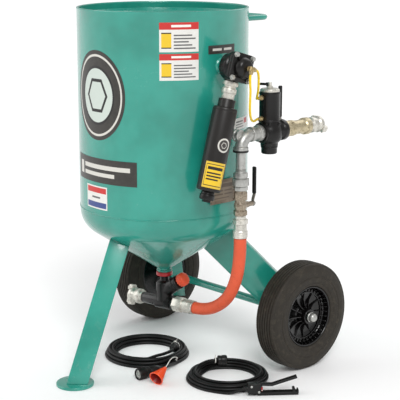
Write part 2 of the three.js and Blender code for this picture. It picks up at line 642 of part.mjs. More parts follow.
// The grip-to-run handle: drawn along +X with its underside on z = 0.
const deadman = new THREE.Group();
deadman.position.set(484, -38, 0);
deadman.rotation.z = THREE.MathUtils.degToRad(52);
pot.add(deadman);
part('deadman_body', cut(
  join(
    toSolid(box([0, -15, 6], [44, 15, 42])),
    toSolid(box([34, -13, 0.5], [176, 13, 12])),
    toSolid(box([156, -13, 8], [164, 13, 24])),
  ),
  toSolid(box([28, -8, 28.5], [50, 8, 60])),
), grip, deadman);
part('deadman_lever', join(
  toSolid(box([30, -7.6, 32], [50, 7.6, 41])),
  toSolid(plate([[46, 35], [84, 33], [172, 60], [169, 68], [84, 41], [46, 43]], 20)
    .rotateX(Math.PI / 2).translate(0, 10, 0)),
), grip, deadman);
part('deadman_lock', toSolid(box([46, -6, 14], [52, 6, 27.5])), redPlastic, deadman);

export default group;
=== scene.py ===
import bmesh
import bpy
import json
import math
from mathutils import Matrix, Vector
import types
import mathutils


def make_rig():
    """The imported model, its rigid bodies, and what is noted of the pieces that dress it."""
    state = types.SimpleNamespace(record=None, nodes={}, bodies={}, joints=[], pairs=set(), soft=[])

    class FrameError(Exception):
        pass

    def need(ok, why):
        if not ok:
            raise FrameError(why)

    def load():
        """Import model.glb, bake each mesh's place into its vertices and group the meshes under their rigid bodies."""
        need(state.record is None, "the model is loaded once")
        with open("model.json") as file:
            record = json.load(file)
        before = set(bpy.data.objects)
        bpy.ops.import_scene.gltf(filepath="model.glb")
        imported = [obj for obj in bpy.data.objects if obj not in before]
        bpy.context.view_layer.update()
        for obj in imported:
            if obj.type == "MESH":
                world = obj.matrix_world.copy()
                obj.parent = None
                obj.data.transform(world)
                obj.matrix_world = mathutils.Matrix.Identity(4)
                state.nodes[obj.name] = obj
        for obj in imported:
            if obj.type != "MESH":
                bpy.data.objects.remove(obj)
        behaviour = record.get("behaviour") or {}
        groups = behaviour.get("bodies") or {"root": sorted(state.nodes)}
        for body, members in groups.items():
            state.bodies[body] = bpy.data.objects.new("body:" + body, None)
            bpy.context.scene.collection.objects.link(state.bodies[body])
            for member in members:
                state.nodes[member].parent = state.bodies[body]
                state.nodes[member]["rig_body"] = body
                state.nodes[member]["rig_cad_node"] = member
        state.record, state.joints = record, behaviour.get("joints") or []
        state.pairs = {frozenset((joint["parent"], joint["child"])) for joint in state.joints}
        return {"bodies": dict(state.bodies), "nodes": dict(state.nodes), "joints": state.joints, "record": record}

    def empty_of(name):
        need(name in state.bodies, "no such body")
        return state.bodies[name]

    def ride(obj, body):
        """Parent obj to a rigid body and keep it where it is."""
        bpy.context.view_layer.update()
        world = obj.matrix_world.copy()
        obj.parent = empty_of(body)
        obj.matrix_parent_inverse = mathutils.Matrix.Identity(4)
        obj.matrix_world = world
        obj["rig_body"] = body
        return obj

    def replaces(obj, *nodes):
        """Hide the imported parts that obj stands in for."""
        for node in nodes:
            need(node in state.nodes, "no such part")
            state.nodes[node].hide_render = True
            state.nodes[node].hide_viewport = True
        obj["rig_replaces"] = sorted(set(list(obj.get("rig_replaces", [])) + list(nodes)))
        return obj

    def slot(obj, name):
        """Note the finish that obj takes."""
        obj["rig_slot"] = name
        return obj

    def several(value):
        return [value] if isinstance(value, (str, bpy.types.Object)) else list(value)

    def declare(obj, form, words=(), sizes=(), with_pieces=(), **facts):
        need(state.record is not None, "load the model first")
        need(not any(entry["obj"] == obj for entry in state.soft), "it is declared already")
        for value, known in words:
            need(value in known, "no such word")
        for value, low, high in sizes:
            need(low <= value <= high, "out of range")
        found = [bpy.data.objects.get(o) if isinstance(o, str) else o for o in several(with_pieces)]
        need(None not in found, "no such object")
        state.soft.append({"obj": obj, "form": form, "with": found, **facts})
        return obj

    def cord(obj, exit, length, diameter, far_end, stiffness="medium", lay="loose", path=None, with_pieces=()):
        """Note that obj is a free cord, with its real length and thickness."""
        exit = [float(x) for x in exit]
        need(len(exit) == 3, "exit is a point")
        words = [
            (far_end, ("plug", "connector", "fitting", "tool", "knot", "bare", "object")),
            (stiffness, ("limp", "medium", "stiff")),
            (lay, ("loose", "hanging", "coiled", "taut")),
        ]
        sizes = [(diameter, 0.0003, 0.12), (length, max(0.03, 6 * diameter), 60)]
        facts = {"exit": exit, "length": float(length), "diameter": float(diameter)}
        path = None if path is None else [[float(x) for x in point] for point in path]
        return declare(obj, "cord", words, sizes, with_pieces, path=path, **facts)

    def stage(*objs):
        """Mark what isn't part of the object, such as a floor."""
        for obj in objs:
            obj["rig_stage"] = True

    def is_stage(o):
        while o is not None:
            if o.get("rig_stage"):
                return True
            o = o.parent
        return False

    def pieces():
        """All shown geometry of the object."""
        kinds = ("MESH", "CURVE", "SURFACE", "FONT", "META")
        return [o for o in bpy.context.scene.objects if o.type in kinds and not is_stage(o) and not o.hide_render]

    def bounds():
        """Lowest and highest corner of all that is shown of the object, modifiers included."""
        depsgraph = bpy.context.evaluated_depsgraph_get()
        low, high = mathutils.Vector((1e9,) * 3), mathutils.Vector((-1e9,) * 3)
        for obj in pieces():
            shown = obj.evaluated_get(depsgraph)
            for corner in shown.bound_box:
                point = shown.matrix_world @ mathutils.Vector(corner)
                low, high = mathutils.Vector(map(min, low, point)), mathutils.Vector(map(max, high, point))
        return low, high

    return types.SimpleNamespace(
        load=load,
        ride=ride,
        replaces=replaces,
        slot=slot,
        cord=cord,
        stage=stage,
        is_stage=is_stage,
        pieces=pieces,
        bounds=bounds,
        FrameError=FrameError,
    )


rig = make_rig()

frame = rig.load()
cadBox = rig.bounds()
scene = bpy.context.scene
mm = 0.001
potPlace = Matrix.Translation((0, -12 * mm, 0))  # the tank's axis stands 12 mm behind the row's origin
alongX = Matrix.Rotation(math.pi / 2, 4, "Y")
alongY = Matrix.Rotation(-math.pi / 2, 4, "X")
# faces blend below the first angle, and edges are rounded above the second
smoothAngle, edgeAngle = math.radians(38), math.radians(28)
mergeGap = 0.00002


def spot(x=0, y=0, z=0):
    return Matrix.Translation((x * mm, y * mm, z * mm))


def turnedBy(degrees, axis):
    return Matrix.Rotation(math.radians(degrees), 4, axis)


# camera
cameraSet = {"place": (3.3789, -2.9060, 1.5978), "turn": (77.44, 0, 47.72), "lens": 111.92}
bpy.ops.object.camera_add(location=cameraSet["place"], rotation=[math.radians(a) for a in cameraSet["turn"]])
scene.camera = bpy.context.object
scene.camera.data.lens = cameraSet["lens"]
scene.camera.data.sensor_width = 36
scene.camera.data.clip_end = 60
print("camera set")


# finishes: one class wraps a socket, the other a material being painted
class Wire:
    def __init__(self, coat, socket):
        self.coat, self.socket = coat, socket

    def math(self, operation, *others):
        return self.coat.add("ShaderNodeMath", {"operation": operation}, dict(enumerate([self, *others])))

    def __add__(self, other):
        return self.math("ADD", other)

    def __sub__(self, other):
        return self.math("SUBTRACT", other)

    def __rsub__(self, other):
        return self.coat.add("ShaderNodeMath", {"operation": "SUBTRACT"}, {0: other, 1: self})

    def __mul__(self, other):
        return self.math("MULTIPLY", other)

    __radd__ = __add__
    __rmul__ = __mul__


class Coat:
    def __init__(self, name, **constants):
        self.material = bpy.data.materials.new(name)
        self.material.use_nodes = True
        self.tree = self.material.node_tree
        self.shader = self.tree.nodes["Principled BSDF"]
        for socket, value in constants.items():
            self.shader.inputs[socket.replace("_", " ")].default_value = value

    def add(self, kind, settings=None, sockets=None, out=0):
        node = self.tree.nodes.new(kind)
        for key, value in (settings or {}).items():
            setattr(node, key, value)
        for key, value in (sockets or {}).items():
            if isinstance(value, Wire):
                self.tree.links.new(value.socket, node.inputs[key])
            else:
                node.inputs[key].default_value = value
        return Wire(self, node.outputs[out])

    def where(self, scale=(1, 1, 1), source="Object"):
        coords = self.add("ShaderNodeTexCoord", out=source)
        return self.add("ShaderNodeMapping", {}, {"Vector": coords, "Scale": scale})

    def noise(self, place, scale, detail=4.0, roughness=0.55):
        sockets = {"Vector": place, "Scale": scale, "Detail": detail, "Roughness": roughness}
        return self.add("ShaderNodeTexNoise", {}, sockets)

    def mask(self, value, low, high):
        sockets = {"Value": value, "From Min": low, "From Max": high}
        return self.add("ShaderNodeMapRange", {"interpolation_type": "SMOOTHSTEP"}, sockets)

    def span(self, value, low, high):
        return self.add("ShaderNodeMapRange", {}, {"Value": value, "To Min": low, "To Max": high})

    def mix(self, share, first, second):
        return self.add("ShaderNodeMix", {"data_type": "RGBA"}, {0: share, 6: first, 7: second}, out=2)

    def axis(self, place, letter):
        return self.add("ShaderNodeSeparateXYZ", {}, {0: place}, out=letter)

    def facingUp(self):
        return self.axis(self.add("ShaderNodeNewGeometry", out="Normal"), "Z")

    def finish(self, color, roughness, height, depth, metallic=None):
        bump = self.add("ShaderNodeBump", {}, {"Strength": 1.0, "Distance": depth, "Height": height})
        links = {"Base Color": color, "Roughness": roughness, "Normal": bump, "Metallic": metallic}
        for key, wire in links.items():
            if wire is not None:
                self.tree.links.new(wire.socket, self.shader.inputs[key])
        return self.material


def tint(red, green, blue):
    def light(value):
        value /= 255
        return value / 12.92 if value <= 0.04045 else ((value + 0.055) / 1.055) ** 2.4
    return (light(red), light(green), light(blue), 1.0)


def enamel(look):
    coat = Coat("potEnamel", IOR=1.5, Coat_Weight=0.55, Coat_Roughness=0.06)
    place = coat.where()
    cloud = coat.noise(place, 5.0, 3.0)
    peel = coat.noise(place, 240.0, 2.0, 0.4)
    speck = coat.noise(place, 900.0, 1.0)
    color = coat.mix(coat.mask(cloud, 0.35, 0.65), look["deep"], look["fresh"])
    low = coat.mask(coat.axis(place, "Z"), 0.28, 0.0)
    dusty = coat.mask(coat.noise(place, 38.0, 6.0, 0.7), 0.5, 0.75) * (0.04 + low * 0.16)
    up = coat.mask(coat.facingUp(), 0.45, 0.9) * coat.mask(coat.noise(place, 22.0, 5.0), 0.4, 0.7)
    color = coat.mix(dusty + up * 0.06, color, look["dust"])
    rough = coat.span(cloud, look["gloss"], look["gloss"] + 0.1) + dusty * 0.4 + up * 0.1
    return coat.finish(color, rough, peel * 0.8 + speck * 0.15, look["peel"])


def casting(look):
    coat = Coat(look["name"], IOR=1.38, Coat_Weight=look["coat"], Coat_Roughness=0.2)
    place = coat.where()
    grit = coat.noise(place, look["grain"], 5.0, 0.6)
    cloud = coat.noise(place, 30.0, 4.0)
    wear = coat.mask(coat.noise(place, 85.0, 8.0, 0.75), 0.62, 0.72)
    dust = coat.mask(coat.facingUp(), 0.3, 0.95) * coat.mask(coat.noise(place, 60.0, 5.0), 0.35, 0.7)
    color = coat.mix(cloud, look["deep"], look["light"])
    color = coat.mix(wear * look["wear"], color, look["bare"])
    color = coat.mix(dust * look["dust"], color, tint(126, 122, 112))
    rough = coat.span(grit, look["gloss"], look["gloss"] + 0.18) + dust * 0.15
    return coat.finish(color, rough, grit, look["depth"])


def galvanised(look):
    coat = Coat(look["name"], Metallic=look["metal"], IOR=1.5)
    place = coat.where()
    cells = coat.add("ShaderNodeTexVoronoi", {}, {"Vector": place, "Scale": look["spangle"]}, out="Color")
    tone = coat.axis(cells, "X")
    cloud = coat.noise(place, 26.0, 6.0, 0.65)
    stain = coat.mask(coat.noise(place, 70.0, 7.0, 0.7), 0.52, 0.7)
    fine = coat.noise(place, 700.0, 3.0)
    color = coat.mix(tone * 0.6 + cloud * 0.4, look["deep"], look["light"])
    color = coat.mix(stain * look["stain"], color, look["dirt"])
    rough = coat.span(tone, look["gloss"], look["gloss"] + 0.16) + stain * 0.15
    return coat.finish(color, rough, fine * 0.5 + cloud * 0.5, look["depth"])


def moulded(look):
    coat = Coat(look["name"], IOR=look.get("index", 1.46), Coat_Weight=look["coat"], Coat_Roughness=0.12)
    place = coat.where()
    grain = coat.noise(place, look["grain"], 3.0, 0.5)
    cloud = coat.noise(place, 18.0, 5.0, 0.6)
    scuff = coat.mask(coat.noise(coat.where((1, 1, 7)), 90.0, 8.0, 0.8), 0.6, 0.72)
    color = coat.mix(cloud, look["deep"], look["light"])
    color = coat.mix(scuff * look["scuffs"], color, look["scuffed"])
    rough = coat.span(cloud, look["gloss"], look["gloss"] + 0.14) + scuff * 0.12
    return coat.finish(color, rough, grain, look["depth"])


def tyreRubber(look):
    coat = Coat("tyreRubber", IOR=1.42, Specular_IOR_Level=0.35)
    place = coat.where()
    cloud = coat.noise(place, 14.0, 6.0, 0.65)
    grain = coat.noise(place, 420.0, 4.0, 0.6)
    chalk = coat.mask(coat.noise(place, 55.0, 8.0, 0.75), 0.48, 0.7)
    color = coat.mix(cloud, look["deep"], look["light"])
    color = coat.mix(chalk * 0.4, color, look["dust"])
    rough = coat.span(cloud, 0.52, 0.72) + chalk * 0.12
    return coat.finish(color, rough, grain, 0.00035)


def hoseCover(look):
    coat = Coat(look["name"], IOR=1.48, Specular_IOR_Level=look["shine"])
    place = coat.where(source="UV")
    weave = coat.add("ShaderNodeTexWave", {"wave_type": "BANDS", "bands_direction": "DIAGONAL"},
                     {"Vector": place, "Scale": look["wrap"], "Distortion": 0.6, "Detail": 2.0})
    body = coat.where()
    cloud = coat.noise(body, 24.0, 5.0, 0.6)
    fine = coat.noise(body, 800.0, 3.0)
    dirt = coat.mask(coat.noise(body, 75.0, 7.0, 0.75), 0.52, 0.72)
    color = coat.mix(cloud * 0.6 + weave * 0.4, look["deep"], look["light"])
    color = coat.mix(dirt * look["dirt"], color, look["dirtColor"])
    rough = coat.span(cloud, look["gloss"], look["gloss"] + 0.16) + dirt * 0.1
    return coat.finish(color, rough, weave * 0.55 + fine * 0.45, look["depth"])


paint = {
    "enamel": enamel({"deep": tint(24, 132, 116), "fresh": tint(38, 150, 133), "dust": tint(136, 158, 146),
                      "gloss": 0.2, "peel": 0.00012}),
    "blackCast": casting({"name": "blackCast", "deep": tint(5, 4, 4), "light": tint(15, 13, 12),
                          "bare": tint(74, 68, 60), "wear": 0.14, "dust": 0.03, "grain": 420.0,
                          "gloss": 0.2, "coat": 0.12, "depth": 0.00035}),
    "mufflerBlack": casting({"name": "mufflerBlack", "deep": tint(22, 20, 19), "light": tint(36, 33, 31),
                             "bare": tint(80, 75, 70), "wear": 0.1, "dust": 0.05, "grain": 650.0,
                             "gloss": 0.3, "coat": 0.06, "depth": 0.00015}),
    "pipeBlack": casting({"name": "pipeBlack", "deep": tint(10, 9, 9), "light": tint(20, 18, 18),
                          "bare": tint(100, 94, 88), "wear": 0.15, "dust": 0.04, "grain": 500.0,
                          "gloss": 0.14, "coat": 0.3, "depth": 0.0002}),
    "zinc": galvanised({"name": "galvanisedZinc", "metal": 0.85, "deep": tint(166, 166, 162),
                        "light": tint(196, 196, 192), "dirt": tint(130, 125, 114), "stain": 0.22,
                        "spangle": 160.0, "gloss": 0.34, "depth": 0.00004}),
    "castSteel": galvanised({"name": "platedCasting", "metal": 0.8, "deep": tint(184, 181, 172),
                             "light": tint(236, 233, 224), "dirt": tint(104, 94, 78), "stain": 0.5,
                             "spangle": 420.0, "gloss": 0.3, "depth": 0.0003}),
    "brass": galvanised({"name": "dullBrass", "metal": 0.85, "deep": tint(150, 128, 84),
                         "light": tint(206, 186, 140), "dirt": tint(92, 76, 50), "stain": 0.6,
                         "spangle": 300.0, "gloss": 0.26, "depth": 0.00018}),
    "nickelBrass": galvanised({"name": "platedBrass", "metal": 0.85, "deep": tint(160, 146, 116),
                               "light": tint(220, 208, 176), "dirt": tint(84, 70, 48), "stain": 0.8,
                               "spangle": 350.0, "gloss": 0.28, "depth": 0.0002}),
    "brownMetal": galvanised({"name": "wornBrass", "metal": 0.8, "deep": tint(122, 108, 92),
                              "light": tint(184, 172, 154), "dirt": tint(80, 66, 50), "stain": 0.7,
                              "spangle": 260.0, "gloss": 0.26, "depth": 0.0002}),
    # brown-grey nameplate metal, darkened: partly its own tone, partly painted shade of the plate lying in shadow
    # behind the riser and muffler
    "plateMetalShaded": galvanised({"name": "nameplateMetal", "metal": 0.7, "deep": tint(112, 98, 84),
                              "light": tint(150, 136, 120), "dirt": tint(84, 70, 56), "stain": 0.6,
                              "spangle": 60.0, "gloss": 0.34, "depth": 0.00008}),
    "steel": galvanised({"name": "bareSteel", "metal": 0.9, "deep": tint(128, 124, 118),
                         "light": tint(186, 182, 176), "dirt": tint(96, 78, 60), "stain": 0.5,
                         "spangle": 220.0, "gloss": 0.3, "depth": 0.0001}),
    "tyre": tyreRubber({"deep": tint(34, 31, 27), "light": tint(54, 49, 42), "dust": tint(88, 82, 70)}),
    "rimBlack": moulded({"name": "rimBlack", "deep": tint(4, 4, 4), "light": tint(9, 8, 8), "index": 1.4,
                         "scuffed": tint(34, 32, 30), "scuffs": 0.15, "grain": 150.0, "gloss": 0.08,
                         "coat": 0.25, "depth": 0.0006}),
    "grip": moulded({"name": "gripBlack", "deep": tint(7, 7, 7), "light": tint(18, 17, 17), "index": 1.38,
                     "scuffed": tint(64, 61, 58), "scuffs": 0.2, "grain": 900.0, "gloss": 0.32,
                     "coat": 0.05, "depth": 0.0002}),
    "sealRubber": moulded({"name": "sealRubber", "deep": tint(20, 19, 19), "light": tint(34, 32, 31),
                           "scuffed": tint(88, 84, 78), "scuffs": 0.5, "grain": 700.0, "gloss": 0.55,
                           "coat": 0.0, "depth": 0.0002}),
    "knobOrange": moulded({"name": "knobOrange", "deep": tint(206, 62, 26), "light": tint(230, 84, 40),
                           "scuffed": tint(240, 150, 120), "scuffs": 0.4, "grain": 500.0, "gloss": 0.32,
                           "coat": 0.3, "depth": 0.0002}),
    "bootOrange": moulded({"name": "bootOrange", "deep": tint(232, 62, 10), "light": tint(250, 88, 22),
                           "scuffed": tint(250, 160, 120), "scuffs": 0.3, "grain": 400.0, "gloss": 0.28,
                           "coat": 0.4, "depth": 0.00015}),
    # darker red for the inside of the boot: painted shade in its hollow
    "bootInsidePaintedShade": moulded({"name": "bootInsidePaintedShade", "deep": tint(118, 12, 6), "light": tint(156, 22, 10),
                           "scuffed": tint(190, 80, 60), "scuffs": 0.3, "grain": 400.0, "gloss": 0.35,
                           "coat": 0.2, "depth": 0.00015}),
    "lockRed": moulded({"name": "lockRed", "deep": tint(150, 22, 28), "light": tint(184, 34, 38),
                        "scuffed": tint(220, 130, 120), "scuffs": 0.4, "grain": 600.0, "gloss": 0.34,
                        "coat": 0.2, "depth": 0.00015}),
    "tieWhite": moulded({"name": "tieWhite", "deep": tint(222, 220, 212), "light": tint(244, 243, 238),
                         "scuffed": tint(170, 166, 156), "scuffs": 0.4, "grain": 600.0, "gloss": 0.4,
                         "coat": 0.1, "depth": 0.0001}),
    "hose": hoseCover({"name": "hoseOrange", "deep": tint(206, 76, 44), "light": tint(226, 98, 62),
                       "dirtColor": tint(140, 60, 40), "dirt": 0.4, "wrap": 110.0, "gloss": 0.42,
                       "shine": 0.4, "depth": 0.00025}),
    "tube": hoseCover({"name": "tubeYellow", "deep": tint(224, 182, 4), "light": tint(246, 214, 20),
                       "dirtColor": tint(170, 140, 20), "dirt": 0.25, "wrap": 30.0, "gloss": 0.22,
                       "shine": 0.5, "depth": 0.00005}),
    "lead": hoseCover({"name": "leadBlack", "deep": tint(5, 5, 5), "light": tint(15, 15, 15),
                       "dirtColor": tint(56, 54, 50), "dirt": 0.2, "wrap": 60.0, "gloss": 0.34,
                       "shine": 0.3, "depth": 0.00012}),
}
print("finishes mixed")


# cords: smooth routes, drawn through the same points as the CAD tubes
def smoothRoute(points, step=0.006):
    guide = [Vector(p) for p in points]
    guide = [guide[0] * 2 - guide[1], *guide, guide[-1] * 2 - guide[-2]]
    line = []
    for a, b, c, d in zip(guide, guide[1:], guide[2:], guide[3:]):
        knots = [0.0]
        for p, q in ((a, b), (b, c), (c, d)):
            knots.append(knots[-1] + max((q - p).length, 1e-6) ** 0.5)
        count = max(2, math.ceil((c - b).length / step))
        for k in range(count):
            t = knots[1] + (knots[2] - knots[1]) * k / count
            level = [a, b, c, d]
            for spans in (((0, 1), (1, 2), (2, 3)), ((0, 2), (1, 3)), ((1, 2),)):
                level = [
                    level[i] * ((knots[high] - t) / (knots[high] - knots[low]))
                    + level[i + 1] * ((t - knots[low]) / (knots[high] - knots[low]))
                    for i, (low, high) in enumerate(spans)
                ]
            line.append(level[0])
    line.append(guide[-2])
    return line


def inPot(points):
    return [potPlace @ Vector((x * mm, y * mm, z * mm)) for x, y, z in points]


def cordMesh(name, line, radius, sides=12):
    # a round tube whose u runs along it and v round it, both in metres
    mesh = bpy.data.meshes.new(name)
    piece = bpy.data.objects.new(name, mesh)
    scene.collection.objects.link(piece)
    build = bmesh.new()
    uv = build.loops.layers.uv.new("along")
    side = (line[1] - line[0]).normalized().orthogonal().normalized()
    rings, reach, distance = [], [], 0.0
    for k, point in enumerate(line):
        ahead = line[min(k + 1, len(line) - 1)] - line[max(k - 1, 0)]
        ahead.normalize()
        side = (side - ahead * side.dot(ahead)).normalized()
        other = ahead.cross(side)
        if k:
            distance += (point - line[k - 1]).length
        reach.append(distance)
        rings.append([
            build.verts.new(point + (side * math.cos(a) + other * math.sin(a)) * radius)
            for a in (2 * math.pi * s / sides for s in range(sides))
        ])
    girth = 2 * math.pi * radius
    for k in range(len(rings) - 1):
        for s in range(sides):
            t = (s + 1) % sides
            face = build.faces.new((rings[k][s], rings[k][t], rings[k + 1][t], rings[k + 1][s]))
            face.smooth = True
            spots = ((reach[k], s), (reach[k], s + 1), (reach[k + 1], s + 1), (reach[k + 1], s))
            for loop, (u, v) in zip(face.loops, spots):
                loop[uv].uv = (u, v / sides * girth)
    build.faces.new(reversed(rings[0]))
    build.faces.new(rings[-1])
    bmesh.ops.recalc_face_normals(build, faces=build.faces)
    build.to_mesh(mesh)
    build.free()
    return piece


def fit(piece, finish, body, slotName, *nodes):
    piece.data.materials.clear()
    piece.data.materials.append(paint[finish])
    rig.ride(piece, body)
    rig.slot(piece, slotName)
    if nodes:
        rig.replaces(piece, *nodes)
    return piece


def enamelled(piece, *nodes):
    return fit(piece, "enamel", "pot", "pot_paint", *nodes)


def length(line):
    return sum((b - a).length for a, b in zip(line, line[1:]))


def plain(line):
    return [tuple(p) for p in line]


pipeTurn = math.radians(12.4)
pusherHose = {
    "radius": 22 * mm,
    "route": [
        (375, 26, 530.4), (375, 26, 515), (374, 26, 484), (371, 26.2, 451), (365.5, 26.8, 419),
        (357, 28, 389), (345.5, 29.5, 360.5), (330, 31.5, 331.5), (309.5, 33.5, 303), (282.5, 35.5, 276.5),
        (250, 37, 253.5), (214.5, 37.5, 235.5), (180.5, 36, 224.8), (158, 33.8, 221),
        (144.5 * math.cos(pipeTurn), 144.5 * math.sin(pipeTurn), 220),
        (137.1 * math.cos(pipeTurn), 137.1 * math.sin(pipeTurn), 220),
    ],
}
signalTubes = {
    "radius": 4 * mm,
    "short": [
        (451.5, 18.1, 1119.8), (451.4, 24, 1118), (450.5, 30, 1111), (447.5, 36, 1098), (442, 42, 1079),
        (433, 50, 1055), (421, 59, 1036), (406.5, 70, 1021), (391.5, 84, 1012.5), (379.5, 96.5, 1010.2),
        (375.2, 101, 1010), (375, 106.2, 1010),
    ],
    "long": [
        (451.5, -5.3, 1106.7), (451.7, -7, 1100.5), (452.2, -8, 1080), (452, -6, 1055), (449, -4, 1024),
        (443, 1, 994), (434, 12, 968), (421, 30, 950), (406, 53, 940.5), (391, 77, 937.5),
        (379.5, 93.5, 937.6), (375.2, 101, 938), (375, 106.2, 938),
    ],
}
hoseLine = smoothRoute(inPot(pusherHose["route"]))
hose = fit(cordMesh("pusherHose", hoseLine, pusherHose["radius"], 32), "hose", "pot", "hose_orange",
           "pusher_hose")
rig.cord(hose, exit=hoseLine[0], length=length(hoseLine), diameter=44 * mm, far_end="object",
        stiffness="stiff", lay="taut", path=plain(hoseLine))
for which in ("short", "long"):
    line = smoothRoute(inPot(signalTubes[which]), 0.003)
    node = "signal_tube_" + which
    tube = fit(cordMesh("signalTube" + which.title(), line, signalTubes["radius"], 14), "tube", "pot",
               "tube_yellow", node)
    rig.cord(tube, exit=line[0], length=length(line), diameter=8 * mm, far_end="object",
            stiffness="medium", lay="loose", path=plain(line))


def coilRoute(start, centre, turns, finish, way, firstAngle, lastAngle):
    # turns are (radius, height) pairs; the lead slips from one to the next over a part of each turn
    points = [Vector(p) for p in start]
    count, stepAngle, slipFrom = len(turns), 10, 0.8
    total = 360 * (count - 1) + ((lastAngle - firstAngle) * way) % 360
    travelled = 0
    while travelled <= total:
        turn = min(int(travelled // 360), count - 1)
        radius, height = turns[turn]
        share = (travelled % 360) / 360
        if share > slipFrom and turn + 1 < count:
            t = (share - slipFrom) / 0.2
            t = t * t * (3 - 2 * t)
            radius += (turns[turn + 1][0] - radius) * t
            height += (turns[turn + 1][1] - height) * t
        a = math.radians(firstAngle + way * travelled)
        sway = 0.35 * math.sin(3 * a + turn * 1.7)
        points.append(Vector((centre[0] + (radius + sway) * math.cos(a),
                              centre[1] + (radius + sway) * math.sin(a), height)))
        travelled += stepAngle
    return [tuple(p) for p in points] + list(finish)


leftLead = {
    "radius": 6, "centre": (-70, -29),
    "turns": [(129.2, 28.4), (141.3, 28.4), (147.9, 17.2), (135.4, 17.2), (123, 17.2), (117, 6.1),
              (129.3, 6.1), (141.7, 6.1), (153.8, 6.1)],
    "start": [(29.6, 12.6, 36), (34, 5.4, 36), (39, -6, 35.8), (41, -24, 34.6), (39.5, -46, 33),
              (33, -72, 31)],
    "finish": [(79, 11, 6.1), (84.5, -10, 6.3), (91, -30, 8), (100, -49, 11.5), (110, -67, 15.5),
               (118.5, -83, 19), (124.5, -98, 21), (127.3, -109, 21.2), (127, -118, 21.2)],
}
rightLead = {
    "radius": 5, "centre": (326, 18),
    "turns": [(118.5, 31.6), (113, 22.8), (124, 22.8), (135, 22.8), (140.7, 13.9), (129.6, 13.9),
              (118.6, 13.9), (107.6, 13.9), (102, 5.1), (113, 5.1), (124, 5.1), (135, 5.1), (146, 5.1)],
    "start": [(224, 45, 37), (218.5, 37, 37), (215, 26, 37), (214, 10, 36.5), (217, -12, 35.5)],
    "finish": [(394.5, -110.9, 5.1), (416, -100.5, 5.1), (435, -88.5, 5.5), (450, -76.5, 9),
               (462, -64.5, 15), (471.5, -54, 21), (477.8, -45.9, 24), (484, -38, 24)],
}
leftPoints = coilRoute(leftLead["start"], leftLead["centre"], leftLead["turns"], leftLead["finish"], -1, -40,
                       28)
rightPoints = coilRoute(rightLead["start"], rightLead["centre"], rightLead["turns"], rightLead["finish"],
                        1, -152, -72)
leftLine = smoothRoute(inPot(leftPoints), 0.012)
rightLine = smoothRoute(inPot(rightPoints), 0.012)
leftCord = fit(cordMesh("leadLeft", leftLine, leftLead["radius"] * mm, 12), "lead", "pot", "lead_black",
               "lead_coil_left")
rightCord = fit(cordMesh("leadRight", rightLine, rightLead["radius"] * mm, 12), "lead", "pot", "lead_black",
                "lead_coil_right")
print("cords laid", round(length(hoseLine), 3), round(length(leftLine), 3), round(length(rightLine), 3))


# modelling helpers; profiles are (radius, height) pairs in millimetres about +Z
def chosen(*several):
    bpy.ops.object.select_all(action="DESELECT")
    for piece in several:
        piece.select_set(True)
    bpy.context.view_layer.objects.active = several[0]
    return several[0]


def drawn(name, line):
    # a chain of edges from one vertex, left selected in edit mode
    bpy.ops.object.select_all(action="DESELECT")
    bpy.ops.mesh.primitive_plane_add(size=mm)
    piece = bpy.context.object
    piece.name = name
    bpy.ops.object.mode_set(mode="EDIT")
    bpy.ops.mesh.merge(type="CENTER")
    bpy.ops.transform.translate(value=line[0])
    for before, after in zip(line, line[1:]):
        step = [b - a for a, b in zip(before, after)]
        bpy.ops.mesh.extrude_vertices_move(TRANSFORM_OT_translate={"value": step})
    bpy.ops.mesh.select_all(action="SELECT")
    return piece


def settled(piece, place, bevel, segments=2):
    # closes the edit, rounds its edges and puts the mesh where it belongs
    if piece.mode == "EDIT":
        bpy.ops.mesh.select_all(action="SELECT")
        bpy.ops.mesh.remove_doubles(threshold=mergeGap)
        bpy.ops.mesh.normals_make_consistent(inside=False)
        bpy.ops.object.mode_set(mode="OBJECT")
    chosen(piece)
    if bevel:
        edges = piece.modifiers.new("edges", "BEVEL")
        edges.width, edges.segments = bevel * mm, segments
        edges.limit_method, edges.angle_limit = "ANGLE", edgeAngle
        bpy.ops.object.modifier_apply(modifier="edges")
    bpy.ops.object.shade_smooth_by_angle(angle=smoothAngle)
    piece.data.transform(place)
    return piece


def turned(name, profile, place, steps=40, bevel=0.6):
    piece = drawn(name, [(r * mm, 0, z * mm) for r, z in profile])
    bpy.ops.mesh.spin(steps=steps, angle=math.tau, center=(0, 0, 0), axis=(0, 0, 1))
    return settled(piece, place, bevel)


def extruded(name, outline, thickness, place, bevel=0.6):
    # a closed outline in the ground plane, drawn up to its thickness
    piece = drawn(name, [(x * mm, y * mm, 0) for x, y in outline])
    bpy.ops.mesh.edge_face_add()
    bpy.ops.mesh.extrude_region_move(TRANSFORM_OT_translate={"value": (0, 0, thickness * mm)})
    return settled(piece, place, bevel)


def block(name, low, high, place, bevel=0.8, segments=2):
    bpy.ops.object.select_all(action="DESELECT")
    bpy.ops.mesh.primitive_cube_add(size=1)
    piece = bpy.context.object
    piece.name = name
    size = (Vector(high) - Vector(low)) * mm
    middle = (Vector(high) + Vector(low)) * mm / 2
    piece.data.transform(Matrix.Translation(middle) @ Matrix.Diagonal((*size, 1)))
    return settled(piece, place, bevel, segments)


def prism(name, flats, radius, low, high, place, bevel=0.8):
    bpy.ops.object.select_all(action="DESELECT")
    bpy.ops.mesh.primitive_cylinder_add(vertices=flats, radius=radius * mm, depth=(high - low) * mm)
    piece = bpy.context.object
    piece.name = name
    piece.data.transform(spot(0, 0, (low + high) / 2))
    return settled(piece, place, bevel)


